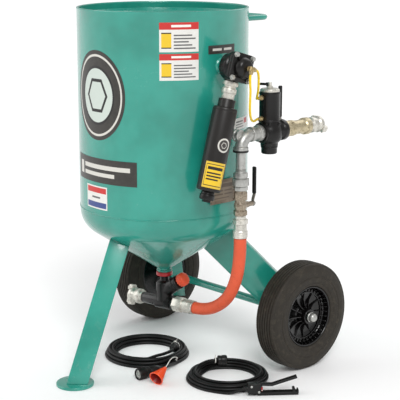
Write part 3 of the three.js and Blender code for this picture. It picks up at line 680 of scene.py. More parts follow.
def cornered(name, side, low, high, corner, place):
    # a square plate with its corners cut round
    bpy.ops.object.select_all(action="DESELECT")
    bpy.ops.mesh.primitive_plane_add(size=side * mm)
    piece = bpy.context.object
    piece.name = name
    bpy.ops.object.mode_set(mode="EDIT")
    bpy.ops.mesh.bevel(offset=corner * mm, segments=5, affect="VERTICES")
    bpy.ops.mesh.select_all(action="SELECT")
    bpy.ops.mesh.extrude_region_move(TRANSFORM_OT_translate={"value": (0, 0, (high - low) * mm)})
    return settled(piece, place @ spot(0, 0, low), 1.2)


def joined(name, first, *rest):
    chosen(first, *rest)
    if rest:
        bpy.ops.object.join()
    first.name = name
    return first


def around(piece, count, place):
    # copies of one piece evenly round an axis
    turns = []
    for k in range(1, count):
        copy = piece.copy()
        copy.data = piece.data.copy()
        scene.collection.objects.link(copy)
        copy.data.transform(place @ turnedBy(360 * k / count, "Z") @ place.inverted())
        turns.append(copy)
    return joined(piece.name, piece, *turns)


def bar(name, line, radius, resolution=5, cyclic=False):
    curve = bpy.data.curves.new(name, "CURVE")
    curve.dimensions, curve.bevel_depth, curve.bevel_resolution = "3D", radius * mm, resolution
    curve.use_fill_caps = not cyclic
    spline = curve.splines.new("POLY")
    spline.points.add(len(line) - 1)
    for point, where in zip(spline.points, line):
        point.co = (*where, 1)
    spline.use_cyclic_u = cyclic
    piece = bpy.data.objects.new(name, curve)
    scene.collection.objects.link(piece)
    chosen(piece)
    bpy.ops.object.convert(target="MESH")
    piece = bpy.context.object
    bpy.ops.object.shade_smooth_by_angle(angle=smoothAngle)
    return piece


def softened(name, node, bevel=1.5):
    # a copy of a CAD piece with its triangles merged and its edges rounded
    piece = bpy.data.objects.new(name, frame["nodes"][node].data.copy())
    scene.collection.objects.link(piece)
    chosen(piece)
    bpy.ops.object.mode_set(mode="EDIT")
    bpy.ops.mesh.select_all(action="SELECT")
    bpy.ops.mesh.remove_doubles(threshold=mergeGap)
    bpy.ops.mesh.dissolve_limited(angle_limit=math.radians(4))
    return settled(piece, Matrix(), bevel, 3)


def ring(radius, height, steps=96):
    return [Vector((radius * math.cos(a) * mm, radius * math.sin(a) * mm, height * mm))
            for a in (math.tau * k / steps for k in range(steps))]


# tank
tank = {"radius": 305, "wall": 6, "rim": 1310, "seam": 600, "steps": 160,
        "slope": 0.667, "apex": 335, "tangent": 265, "neck": 25, "bore": 19, "neckTop": 338}


def headOutline(inset, neck):
    lean = math.atan(tank["slope"])
    knuckle = (tank["radius"] - tank["tangent"]) / (1 - math.sin(lean))
    middle = tank["apex"] + tank["slope"] * tank["tangent"] + knuckle * math.cos(lean)
    line = [(tank["radius"] - inset, tank["seam"] - 0.3)]
    for k in range(13):
        a = (math.pi / 2 - lean) * k / 12
        line.append((tank["radius"] - knuckle + (knuckle - inset) * math.cos(a),
                     middle - (knuckle - inset) * math.sin(a)))
    line.append((neck, tank["apex"] + tank["slope"] * neck + inset / math.cos(lean)))
    line.append((neck, tank["neckTop"]))
    return line


inside = tank["radius"] - tank["wall"]
shell = turned("tankShell", [
    (inside, 600.3), (tank["radius"], 600.3), (tank["radius"], 1302), (306.2, 1305), (306.2, 1308),
    (304.6, 1310), (302, 1310.6), (299.4, 1310), (298, 1308), (298, 1305), (inside, 1302), (inside, 600.3),
], potPlace, tank["steps"], 0)
enamelled(shell, "tank_shell")
outer, inner = headOutline(0, tank["neck"]), headOutline(tank["wall"], tank["bore"])
lower = turned("tankLowerHead", outer + inner[::-1] + outer[:1], potPlace, tank["steps"], 0)
enamelled(lower, "bottom_head")
edge = inside - 0.7
dishLine = [(57 + (edge - 57) * k / 14, 1208 + 78 * (k / 14) ** 2) for k in range(15)]
dish = turned("tankTopHead", dishLine + [(r, z - 6) for r, z in dishLine[::-1]] + dishLine[:1], potPlace,
              tank["steps"], 0)
enamelled(dish, "top_head")
fillRing = turned("fillRing", [(42, 1206.4), (56.6, 1206.4), (56.6, 1214), (50, 1217), (42, 1213),
                               (42, 1206.4)],
                  potPlace, 64, 1)
enamelled(fillRing, "fill_ring")
gasket = turned("fillGasket", [(38, 1196), (53, 1196), (53, 1206), (38, 1206), (38, 1196)], potPlace, 64, 2)
fit(gasket, "sealRubber", "pot", "seal_rubber", "fill_gasket")
popup = turned("popupValve", [(0, 1110), (14, 1110), (14, 1154), (22, 1158), (46, 1162), (46, 1168),
                              (12, 1188), (0, 1192)], potPlace, 48, 1.5)
fit(popup, "brass", "popup_valve", "brass", "popup_valve")
standLine = smoothRoute(inPot([(289, 26, 889), (210, 26, 889), (110, 20, 889), (40, 8, 901), (8, 1, 941),
                               (0, 0, 999), (0, 0, 1150)]), 0.012)
fit(bar("standPipe", standLine, 20), "zinc", "pot", "zinc", "stand_pipe")
seam = bar("seamBead", [potPlace @ p for p in ring(304.4, 600, 160)], 2.6, 3, True)
enamelled(seam)
neckBead = bar("neckBead", [potPlace @ p for p in ring(26, 344, 40)], 3, 3, True)
enamelled(neckBead)
edgeBead = bar("dishBead", [potPlace @ p for p in ring(298.6, 1284, 160)], 3, 3, True)
enamelled(edgeBead)

# handle: a round bar bent into a U behind the tank
handle = {"half": 150, "height": 1262, "reach": 381, "radius": 10, "bend": 34}
handleLine = []
for side in (-1, 1):
    half = [(side * handle["half"], y) for y in (262, 290, 318, 340)]
    for k in range(1, 9):
        a = math.pi / 2 * k / 8
        half.append((side * (handle["half"] - handle["bend"] * (1 - math.cos(a))),
                     handle["reach"] - handle["bend"] * (1 - math.sin(a))))
    handleLine += half if side < 0 else [(-60, handle["reach"]), (0, handle["reach"]), (60, handle["reach"]),
                                         *half[::-1]]
handleLine = inPot([(x, y, handle["height"]) for x, y in handleLine])
enamelled(bar("rearHandle", handleLine, handle["radius"], 7), "rear_handle")
for side in (-1, 1):
    weld = turned("handleWeld" + ("Left" if side < 0 else "Right"),
                  [(0, -3), (15, -3), (14, 1), (11.5, 3.5), (10, 5), (0, 5)],
                  potPlace @ spot(side * handle["half"], 266, handle["height"]) @ alongY, 32, 1)
    enamelled(weld)

# legs, foot and axle
axleSet = {"back": 313, "height": 198, "bracket": 268, "track": 404}
for node, name in (("front_leg", "frontLeg"), ("rear_leg_right", "rearLegRight"),
                   ("rear_leg_left", "rearLegLeft")):
    enamelled(softened(name, node, 1.6), node)
foot = turned("footPlate", [(0, 0), (67, 0), (67, 8), (65, 10), (0, 10)], potPlace @ spot(0, -420), 64, 0.8)
enamelled(foot, "foot_plate")
axle = turned("axle", [(0, -464), (12.5, -464), (12.5, -350), (15, -350), (15, 350), (12.5, 350), (12.5, 464),
                       (0, 464)], potPlace @ spot(0, axleSet["back"], axleSet["height"]) @ alongX, 40, 0.8)
enamelled(axle, "axle")
for side in (-1, 1):
    bracket = turned("axleWeld" + ("Left" if side < 0 else "Right"),
                     [(0, -4), (21, -4), (19, 0), (16, 3), (15, 4), (0, 4)],
                     potPlace @ spot(side * axleSet["bracket"], axleSet["back"],
                                     axleSet["height"]) @ turnedBy(side * 90, "Y"), 40, 1)
    enamelled(bracket)
print("tank, handle and legs done")

# wheels: z = 0 at the middle of the tyre, +z on the outer side
tyreHalf = [
    (198, 0), (198, 3.6), (194.4, 4.6), (194.4, 7.6), (198, 8.6), (198, 15), (194, 16.2), (194, 19.2),
    (197.8, 20.4), (197.4, 27), (193.6, 28.2), (193.6, 30.8), (196.6, 32), (195.6, 37), (192.4, 40.6),
    (189.4, 41.4), (187.6, 40.8), (183, 43.8), (176, 46.4), (165, 47.7), (154, 48), (152, 46.4), (147, 46.4),
    (145, 48), (133, 47.5), (127, 46), (125, 43.6), (119, 43), (114.6, 41.6), (113, 38),
]
rimProfile = [
    (16.5, -44), (27, -44), (29, -12), (105, -6), (105, -38), (112.6, -38), (112.6, 37), (111, 39.4),
    (107, 39.4), (105.4, 37), (103.6, 15), (100, 11.5), (88, 12.6), (84, 10), (60, 5), (42, 4), (34, 7),
    (31, 14), (28.5, 40), (27, 43), (16.5, 43), (16.5, -44),
]
for sideName, side in (("left", -1), ("right", 1)):
    hub = potPlace @ spot(side * axleSet["track"], axleSet["back"], axleSet["height"]) @ turnedBy(side * 90,
                                                                                                  "Y")
    wheelBody = sideName + "_wheel"
    tyre = turned(sideName + "Tyre", [(r, -z) for r, z in tyreHalf[:0:-1]] + tyreHalf
                  + [(113, -38)], hub, 128, 0)
    fit(tyre, "tyre", wheelBody, "tyre_rubber", sideName + "_tyre")
    rim = turned(sideName + "Rim", rimProfile, hub, 96, 0.7)
    rib = extruded("rib", [(29, 2), (86, 8), (86, 15), (60, 12), (38, 18), (29, 27)], 4,
                   hub @ spot(0, 2) @ turnedBy(90, "X"), 1)
    ribs = around(rib, 12, hub)
    web = extruded("web", [(88, 10), (106, 10), (106, 33), (103, 30), (99, 18), (88, 15)], 3,
                   hub @ turnedBy(7.5, "Z") @ spot(0, 1.5) @ turnedBy(90, "X"), 0.8)
    webs = around(web, 36, hub)
    band = turned("band", [(84, 8), (88, 8), (88, 17), (84, 17), (84, 8)], hub, 96, 0.8)
    fit(joined(sideName + "Rim", rim, ribs, webs, band), "rimBlack", wheelBody, "rim_black",
        sideName + "_rim")
    bush = turned(sideName + "Bush", [(12.7, -42), (16.1, -42), (16.1, 42), (12.7, 42), (12.7, -42)], hub,
                  40, 0.4)
    fit(bush, "steel", wheelBody, "steel", sideName + "_bush")
    nut = turned(sideName + "CapNut", [(0, 61), (12.8, 61), (12.8, 47), (18.5, 47), (18.5, 49), (16.5, 50.5),
                                       (16.5, 60), (15, 64), (11, 68), (5, 70.4), (0, 71)], hub, 48, 0.5)
    fit(nut, "zinc", "pot", "zinc", sideName + "_axle_nut")
    valve = turned(sideName + "TyreValve", [(0, 8), (4, 8), (4, 24), (3, 26), (3, 34), (0, 35)],
                   hub @ turnedBy(200, "Z") @ spot(94), 16, 0.5)
    fit(valve, "sealRubber", wheelBody, "tyre_rubber")
print("wheels done")

# outlet valve and muffler, leaned about the outlet's axis
outletPlace = potPlace @ spot(0, 0, 1125) @ turnedBy(-16, "X")
outX = outletPlace @ alongX
body = turned("bodyBarrel", [(0, 290), (17, 290), (17, 334), (37, 335), (44, 338), (47, 343), (47, 366),
                             (44, 371), (38, 375), (34, 380), (34, 394), (0, 394)], outX, 64, 1.2)
flange = cornered("bodyFlange", 97, 384, 396, 15, outX)
port = turned("bodyPort", [(0, -50), (23, -50), (25, -48), (25, 0), (0, 0)], outletPlace @ spot(366), 48, 0.8)
boss = turned("bodyBoss", [(24, -44), (29, -44), (29, -36), (26, -30), (24, -30), (24, -44)],
              outletPlace @ spot(366), 48, 0)
fit(joined("outletValveBody", body, flange, port, boss), "blackCast", "pot", "black_cast",
    "outlet_valve_body")
cover = cornered("coverFlange", 97, 396.4, 406, 15, outX)
dome = turned("coverDome", [(0, 397), (36, 397), (36, 416), (34, 421), (31, 427), (26, 431), (20, 433),
                            (0, 434)],
              outX, 64, 1.2)
bolts, ribs = [], []
for y in (-38.5, 38.5):
    for z in (-38.5, 38.5):
        where = outletPlace @ spot(0, y, z) @ alongX
        bolts.append(prism("bolt", 6, 8.4, 407, 415, where @ turnedBy(12 + y + z, "Z"), 1))
        bolts.append(turned("washer", [(0, 405.6), (9.4, 405.6), (9.4, 407.4), (0, 407.4)], where, 28, 0.3))
for a in (0, 90, 180, 270):
    ribs.append(block("coverRib", (400, -2, 30), (414, 2, 44), outletPlace @ turnedBy(a + 45, "X"), 1))
fit(joined("outletValveCover", cover, dome, *ribs), "blackCast", "pot", "black_cast", "outlet_valve_cover")
fit(joined("coverBolts", *bolts), "zinc", "pot", "zinc")
tee = [
    turned("teeStem", [(0, 434.4), (6.5, 434.4), (6.5, 456), (0, 456)], outX, 24, 0.5),
    block("teeBlock", (444, -8, -8), (459, 8, 8), outletPlace, 1.4),
    turned("teeBranch", [(0, 0), (6, 0), (6, 8), (7.6, 8.6), (7.6, 15), (6, 18), (0, 18)],
           outletPlace @ spot(451.5) @ alongY, 24, 0.5),
    turned("teeDrop", [(0, 0), (6, 0), (6, -8), (7.6, -8.6), (7.6, -15), (6, -18), (0, -18)],
           outletPlace @ spot(451.5), 24, 0.5),
    prism("teeHex", 6, 10, 436, 442, outX, 0.6),
]
fit(joined("signalTee", *tee), "brass", "pot", "brass", "signal_tee")
portPlace = outletPlace @ spot(366)
union = [
    turned("unionBody", [(0, -110), (22, -110), (22, -92), (25, -90), (25, -74), (21, -72), (21, -62),
                         (26, -60), (26, -50.4), (0, -50.4)], portPlace, 48, 0.8),
    block("unionEars", (-29, -7, -88), (29, 7, -76), portPlace, 2.4, 3),
    prism("unionHex", 6, 28, -64, -52, portPlace, 1.2),
]
fit(joined("outletCoupling", *union), "castSteel", "pot", "zinc", "outlet_coupling")
muffler = turned("muffler", [(0, -426), (36, -426), (40, -424), (42, -419), (42, -404), (41.4, -403.4),
                             (41.4, -402.4), (42, -401.8), (42, -152), (41.4, -151.4), (41.4, -150.4),
                             (42, -149.8), (42, -145), (40, -140), (36, -138), (29, -138), (29, -110.4),
                             (0, -110.4)], portPlace, 72, 0.4)
fit(muffler, "mufflerBlack", "pot", "muffler_black", "muffler_body")
plug = [
    turned("plugBody", [(0, -456), (23, -456), (26, -452), (26, -438), (23, -436), (23, -426.4), (0, -426.4)],
           portPlace, 48, 0.8),
    prism("plugHead", 4, 17, -464, -452, portPlace @ turnedBy(20, "Z"), 1.2),
]
fit(joined("mufflerPlug", *plug), "blackCast", "pot", "black_cast", "muffler_plug")

# inlet line: nipple, elbow, inlet valve with its actuator, ball valve and claw coupling
inletPlace = potPlace @ spot(375, 0, 889)
inY, feedX = inletPlace @ alongY, potPlace @ spot(0, 26, 889) @ alongX
nipple = turned("feedNipple", [(12, 290), (17, 290), (17, 351), (12, 351), (12, 290)],
                feedX, 40, 0.4)
nippleWeld = turned("portWeld", [(16, 300), (27, 300), (25, 308), (20, 311), (16, 312), (16, 300)],
                    feedX, 40, 0.6)
enamelled(nippleWeld)
enamelled(turned("outletPortWeld", [(16, 298), (28, 298), (27, 306), (21, 311), (16, 312), (16, 298)], outX,
                 40, 0.6))
fit(nipple, "zinc", "pot", "zinc", "feed_nipple")
elbowLine = [Vector((375, 26 + 46 * (1 - math.cos(a)), 843 + 46 * math.sin(a))) for a in
             (math.pi / 2 * k / 16 for k in range(17))]
elbow = [
    bar("elbowBend", inPot([tuple(p) for p in elbowLine]), 22, 8),
    turned("elbowFoot", [(0, 839), (25, 839), (26, 841), (26, 849), (24, 851), (22, 853), (0, 853)],
           potPlace @ spot(375, 26), 48, 0.8),
    turned("elbowNose", [(0, 68), (25, 68), (26, 70), (26, 78), (24, 80), (22, 83), (22, 100), (28, 102),
                         (28, 118), (0, 118)], inY, 48, 0.8),
    turned("elbowBoss", [(0, 351.4), (21, 351.4), (23, 353), (23, 360), (20, 363), (20, 375), (0, 375)],
           feedX, 40, 0.8),
    prism("elbowHex", 6, 30, 103, 116, inY, 1.2),
]
fit(joined("inletElbow", *elbow), "zinc", "pot", "zinc", "inlet_elbow")
valvePlace = potPlace @ spot(375, 164)
valve = [
    turned("valveRun", [(0, 118.4), (35, 118.4), (35, 127), (31, 132), (31, 206), (34, 212), (37, 214),
                        (37, 230), (0, 230)], inY, 64, 1.2),
    turned("valveBowl", [(0, 839), (31, 839), (31, 850), (37, 856), (42, 862), (45, 872), (45, 892),
                         (42, 904), (37, 916), (37, 926), (0, 926)], valvePlace, 64, 1.2),
]
for a in range(0, 360, 60):
    valve.append(prism("valveBolt", 6, 5, 914, 924, valvePlace @ turnedBy(a + 15, "Z") @ spot(38), 0.6))
fit(joined("inletValveBody", *valve), "blackCast", "pot", "black_cast", "inlet_valve_body")
fit(turned("valveBottomPlug", [(0, 812), (25, 812), (28, 815), (28, 832), (30, 834), (30, 838.6), (0, 838.6)],
           valvePlace, 48, 0.8), "blackCast", "pot", "black_cast", "valve_bottom_plug")
fit(turned("actuatorCylinder", [(0, 926.4), (37.5, 926.4), (37.5, 931), (36.5, 932), (36.5, 1020),
                                (37.5, 1021), (37.5, 1026), (35, 1029), (0, 1029)], valvePlace, 64, 0.6),
                                "blackCast",
    "pot", "black_cast", "actuator_cylinder")
cap = [
    turned("capDisc", [(0, 1029.4), (34, 1029.4), (34, 1036), (30, 1040), (0, 1040)], valvePlace, 64, 0.8),
    prism("capHex", 6, 12, 1040, 1048, valvePlace, 0.8),
    turned("capStem", [(0, 1047), (6, 1047), (6, 1050), (7, 1051), (7, 1058), (5, 1062), (0, 1062)],
           valvePlace, 24, 0.5),
]
fit(joined("actuatorCap", *cap), "castSteel", "pot", "zinc", "actuator_cap")
ventPlace = valvePlace @ turnedBy(-150, "Z") @ spot(0, 0, 1054)
vent = turned("capVent", [(0, 4), (5, 4), (6.4, 6), (6.4, 13), (4.6, 14), (4.6, 34), (3.4, 36), (0, 36)],
              ventPlace @ alongX, 24, 0.5)
fit(vent, "grip", "pot", "black_cast")
for which, z in (("upper", 1010), ("lower", 938)):
    where = potPlace @ spot(375, 164, z) @ alongY
    fitting = [
        turned("nose", [(0, -57), (5, -57), (6, -56), (6, -49), (8, -48), (8, -44), (0, -44)], where, 24,
               0.5),
        prism("hex", 6, 9.2, -46, -37, where, 0.6),
    ]
    fit(joined("actuatorFitting" + which.title(), *fitting), "brass", "pot", "brass",
        "actuator_fitting_" + which)
ballValve = [
    turned("ballRun", [(0, 230.4), (27, 230.4), (30, 234), (30, 248), (25, 253), (27, 262), (28.5, 268),
                       (28.5, 276), (27, 282), (25, 291), (25, 328), (30, 334), (30, 356), (26, 360),
                       (0, 360)], inY, 56, 0.8),
    prism("ballHexBack", 8, 31, 234, 247, inY @ turnedBy(22.5, "Z"), 1),
    prism("ballHexFront", 8, 31, 336, 355, inY @ turnedBy(22.5, "Z"), 1),
    turned("ballStem", [(0, 331), (9, 331), (9, 345), (12, 349), (12, 375), (0, 375)],
           potPlace @ spot(0, 272, 889) @ alongX, 32, 0.6),
]
fit(joined("inletBallValve", *ballValve), "nickelBrass", "pot", "brass", "inlet_ball_valve")


def lever(name, length, place, bodyName, node):
    # a stamped strip with a shallow crank, a dipped sleeve and its nut
    side = [(2.4, -9), (5.4, -9), (5.4, 14), (11.6, 30), (11.6, length - 3), (8.6, length - 3), (8.6, 31),
            (2.4, 15)]
    edgeOn = Matrix(((0, 0, 1, 0), (1, 0, 0, 0), (0, 1, 0, 0), (0, 0, 0, 1)))
    strip = extruded("strip", side, 13, place @ spot(-6.5) @ edgeOn, 0.6)
    nut = prism("nut", 6, 8.5, 4.4, 10.4, place @ alongY, 0.6)
    stub = turned("stub", [(0, 0), (8, 0), (8, 1.4), (0, 1.4)], place @ alongY, 24, 0)
    metal = joined(name + "Strip", strip, nut, stub)
    fit(metal, "steel", bodyName, "steel")
    sleeve = block(name + "Sleeve", (-8, 5, 33), (8, 15, length), place, 4.4, 5)
    fit(sleeve, "grip", bodyName, "grip_black", node)


lever("inletLever", 146, potPlace @ spot(330.65, 272, 889) @ turnedBy(90, "Z"), "inlet_lever", "inlet_lever")
lever("chokeLever", 129, potPlace @ spot(375, 82.35, 645), "choke_lever", "choke_lever")


def claw(name, place, node):
    # a two-lug claw mouth: the face is at z = 0 and the body runs down
    pieces = [turned("clawBody", [(14, 0), (24, 0), (27, -1), (30, -6), (30, -18), (27, -21), (24, -24),
                                  (24, -32), (28, -35), (28, -50), (23, -53), (23, -62), (14, -62), (14, 0)],
                                  place, 48, 0.8),
              turned("clawGasket", [(9, 1.6), (16, 1.6), (18, 0.4), (18, -1), (9, -1), (9, 1.6)], place, 40,
                     0.5)]
    for a in (0, 180):
        lug = place @ turnedBy(a, "Z")
        pieces.append(block("clawArm", (22, -9, -16), (38, 9, 8), lug, 3, 3))
        pieces.append(block("clawTip", (18, -9, 2), (32, 9, 13), lug, 2.6, 3))
        pieces.append(block("clawHeel", (26, -13, -14), (36, 13, -6), lug, 2.6, 3))
    fit(joined(name, *pieces), "castSteel", "pot", "zinc", node)


claw("inletClaw", potPlace @ spot(375, 422.35, 889) @ turnedBy(-90, "X") @ turnedBy(35, "Z"),
     "inlet_claw_coupling")

# riser, choke valve and the hose's upper coupling
riserPlace = potPlace @ spot(375, 26)
riser = [
    turned("riserTube", [(0, 700), (20, 700), (20, 764), (17, 766), (17, 831), (24, 832), (24, 838.6),
                         (0, 838.6)],
           riserPlace, 48, 0.6),
    prism("unionLow", 8, 25.5, 700, 714, riserPlace, 1),
    prism("unionMid", 8, 30, 716, 741, riserPlace @ turnedBy(11, "Z"), 1.2),
    prism("unionTop", 8, 25.5, 746, 761, riserPlace, 1),
]
for z in range(768, 776, 2):
    riser.append(turned("thread", [(16, z), (17, z), (18, z + 0.9), (17, z + 1.8), (16, z + 1.8), (16, z)],
                        riserPlace, 40, 0))
fit(joined("riserPipe", *riser), "zinc", "pot", "zinc", "riser_pipe")
seal = turned("elbowSeal", [(17, 833), (26.4, 833), (27, 835), (27, 838.4), (26, 839.6), (17, 839.6),
                            (17, 833)],
              riserPlace, 48, 0.4)
fit(seal, "sealRubber", "pot", "zinc")
choke = [
    turned("chokeRun", [(0, 611), (21, 611), (21, 616), (19, 631), (21, 636), (23, 645), (21, 654), (19, 660),
                        (21, 694), (21, 699.6), (0, 699.6)], riserPlace, 48, 0.8),
    prism("chokeLow", 6, 25, 613, 629, riserPlace, 1.2),
    prism("chokeTop", 6, 25, 667, 695, riserPlace, 1.2),
    turned("chokeStem", [(0, 26), (11, 26), (11, 60), (9, 64), (9, 82), (0, 82)],
           potPlace @ spot(375, 0, 645) @ alongY, 32, 0.6),
]
fit(joined("chokeValve", *choke), "brownMetal", "pot", "brass", "choke_valve_body")
upper = [
    turned("ferrule", [(0, 531.4), (25, 531.4), (26, 533), (26, 537), (25.2, 538), (26, 539), (26, 543),
                       (25.2, 544), (26, 545), (26, 549), (25.2, 550), (26, 551), (26, 555), (23, 559),
                       (22, 580), (0, 580)],
           riserPlace, 48, 0.5),
    prism("ferruleHex", 6, 27, 581, 598, riserPlace @ turnedBy(17, "Z"), 1.2),
    turned("ferruleStem", [(0, 597), (20, 597), (20, 610.6), (0, 610.6)], riserPlace, 40, 0.5),
]
fit(joined("hoseCouplingUpper", *upper), "castSteel", "pot", "zinc", "hose_coupling_upper")

# mixing pipe, metering valve and blast coupling
mixPlace = potPlace @ spot(0, 0, 220) @ turnedBy(12.4, "Z")
mixX = mixPlace @ alongX
fit(turned("mixingPipe", [(14, -96), (20, -96), (21, -94), (21, 45), (20, 47), (14, 47), (14, -96)], mixX,
           56, 0.4),
    "pipeBlack", "pot", "pipe_black", "mixing_pipe")
low = [
    prism("swivelHex", 6, 29, 47.4, 88, mixX, 1.6),
    turned("swivelBody", [(0, 86), (23, 86), (24, 88), (24, 92), (26, 94), (26, 100), (25, 101), (26, 102),
                          (26, 108), (25, 109), (26, 110), (26, 116), (25, 117), (26, 118), (26, 132),
                          (25, 136), (0, 136)], mixX, 48, 0.5),
]
fit(joined("hoseCouplingLower", *low), "castSteel", "pot", "zinc", "hose_coupling_lower")
claw("blastCoupling", mixPlace @ spot(-158.35) @ turnedBy(-90, "Y") @ turnedBy(10, "Z"), "blast_coupling")
knobPlace = mixPlace @ spot(0, 0, 42) @ turnedBy(90 - 34, "Y")
metering = [
    turned("meterBody", [(0, 8), (31, 8), (31, 70), (29, 76), (24, 80), (16, 83), (16, 102), (0, 102)],
           mixPlace, 48, 1),
    turned("meterBonnet", [(0, 0), (27, 0), (27, 62), (25, 64), (25, 70), (27, 72), (27, 80), (25, 82),
                           (0, 82)],
           knobPlace, 48, 0.8),
    turned("meterSaddle", [(0, -34), (27, -34), (27, 34), (0, 34)], mixX, 48, 1),
    prism("meterHex", 6, 30, 52, 62, knobPlace, 1.2),
]
fit(joined("meteringValve", *metering), "blackCast", "pot", "black_cast", "metering_valve_body")
neckRing = turned("neckRing", [(14, 102.6), (28, 103), (30, 105), (30, 116), (28, 117.6), (14, 117.6),
                               (14, 102.6)],
                  mixPlace, 48, 0.6)
fit(neckRing, "lockRed", "pot", "red_plastic")
knob = turned("knobBody", [(0, 82.4), (9, 82.4), (9, 86), (20, 86.6), (22, 88), (22.4, 112), (20, 115),
                           (0, 116)],
              knobPlace, 48, 0.8)
flute = turned("flute", [(0, 88), (3, 88), (4, 90), (4, 110), (2.6, 113), (0, 114)], knobPlace @ spot(20.8),
               14, 0.4)
flutes = around(flute, 14, knobPlace)
fit(joined("meteringKnob", knob, flutes), "knobOrange", "metering_knob", "red_plastic", "metering_knob")
print("valves and pipes done")


# plugs, connector and boot on the two control leads; drawn along +X from the lead's end
def laid(x, y, heading, lift, tilt=0):
    return potPlace @ spot(x, y, lift) @ turnedBy(heading, "Z") @ turnedBy(tilt, "Y")


plugLine = [(0, 0), (6, 0), (8, 1), (8.4, 4), (7.6, 5), (8.8, 6), (9.4, 8.6), (8.6, 9.6), (10.4, 11),
            (13, 12), (15.4, 13), (17, 15), (17, 24), (16.2, 25), (16.2, 26.4), (17, 27.4), (17, 44),
            (15, 47), (13.6, 47), (13, 41), (0, 41)]
plugSet = {"Left": (29.6, 12.6, 123, 36), "Right": (224, 45, 55, 37)}
for side, (x, y, heading, lift) in plugSet.items():
    where = laid(x, y, heading, lift)
    parts = [turned("plugShell", plugLine, where @ alongX, 40, 0.4)]
    for a in range(0, 360, 30):
        parts.append(block("plugRib", (29, -1.2, 16.4), (42, 1.2, 17.8), where @ turnedBy(a, "X"), 0.4))
    for y1, z1 in ((-5, 3.4), (5, 3.4), (0, -6), (0, 0)):
        parts.append(turned("pin", [(0, 40), (1.3, 40), (1.3, 46), (0.6, 47), (0, 47)],
                            where @ spot(0, y1, z1) @ alongX, 10, 0.2))
    fit(joined("plug" + side, *parts), "grip", "pot", "lead_black", "lead_plug_" + side.lower())
where = laid(127, -118, 265, 21.2)
connector = [turned("connectorShell", [
    (0, 0), (7, 0), (8, 1), (8, 4), (7.4, 5), (8.6, 6), (9, 9), (8.2, 10), (10, 14), (14, 21), (17, 26),
    (18, 31), (19, 34), (19, 60), (18.2, 61), (18.2, 63), (19, 64), (19, 78), (21, 80), (21, 110), (20, 112),
    (17.4, 112), (17, 106), (0, 106),
], where @ alongX, 48, 0.4)]
for a in range(0, 360, 15):
    connector.append(block("connectorRib", (82, -1.1, 20.4), (108, 1.1, 21.6), where @ turnedBy(a, "X"), 0.4))
connector = fit(joined("leadConnector", *connector), "grip", "pot", "lead_black", "lead_connector")
face = [turned("faceDisc", [(0, 105), (16.6, 105), (16.6, 108), (12, 109), (0, 109)], where @ alongX, 40,
               0.6)]
for a in range(0, 360, 60):
    spoke = where @ turnedBy(a, "X") @ spot(0, 8)
    face.append(turned("socket", [(0, 108), (3, 108), (3, 111.4), (1.5, 111.8), (0, 110)], spoke @ alongX,
                       16, 0.3))
face = fit(joined("connectorFace", *face), "zinc", "pot", "lead_black")
where = laid(191, -161, 282.5, 50, 22.7)
boot = turned("orangeBoot", [
    (0, 0), (5, 0), (6.4, 1), (6.4, 5), (8.4, 7), (10, 12), (14, 24), (18.4, 36), (23, 49), (25, 55),
    (27.4, 60), (27.4, 62), (26, 63), (24, 62), (20, 50), (12, 30), (8, 27), (0, 26),
], where @ alongX, 56, 0.5)
fit(boot, "bootOrange", "pot", "red_plastic", "orange_boot")
# a darker red sheet laid just inside the boot's hollow: painted shade
shadeLining = turned("bootShadeLining", [(23.4, 61.4), (19.4, 49.6), (11.4, 29.8), (0, 27), (0, 26), (12, 28.6),
                               (20.4, 49.4), (24, 61.4), (23.4, 61.4)], where @ alongX, 48, 0)
fit(shadeLining, "bootInsidePaintedShade", "pot", "red_plastic")
contact = turned("bootContact", [(0, 26), (5, 26), (5, 40), (4, 42), (0, 43)], where @ alongX, 24, 0.4)
fit(contact, "tieWhite", "pot", "lead_black")

# white string from the boot's tip over to the coil, and ties round the two plugs
stringLine = smoothRoute(inPot([
    (191, -161, 51), (188, -150, 58), (181, -134, 66), (170, -112, 69), (156, -88, 63), (140, -64, 52),
    (122, -44, 40), (104, -32, 30), (92, -26, 21), (84, -18, 14.4), (80, -9, 12.9),
]), 0.004)
string = fit(cordMesh("bootString", stringLine, 1.5 * mm, 10), "tieWhite", "pot", "lead_black")


def tie(name, x, y, lift, heading, inner):
    where, outer, half = laid(x, y, heading, lift), inner + 1.2, 1.5
    pieces = [
        turned("strap", [(inner, -half), (outer, -half), (outer, half), (inner, half), (inner, -half)],
               where @ alongX, 36, 0.3),
        block("head", (-3, -3, inner - 0.4), (3, 3, inner + 5), where, 0.8),
        block("tail", (-1.2, -0.6, inner + 4), (1.2, 0.6, inner + 16), where @ turnedBy(14, "X"), 0.3),
    ]
    fit(joined(name, *pieces), "tieWhite", "pot", "lead_black")


tie("plugTieLeft", 9.4, 43.6, 36, 123, 16.6)
tie("plugTieRight", 226.3, 48.3, 37, 55, 8.8)
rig.cord(leftCord, exit=leftLine[0], length=length(leftLine), diameter=12 * mm, far_end="connector",
        stiffness="medium", lay="coiled", path=plain(leftLine),
        with_pieces=[connector, face])
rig.cord(string, exit=stringLine[0], length=length(stringLine), diameter=3 * mm, far_end="object",
        stiffness="limp", lay="loose", path=plain(stringLine))
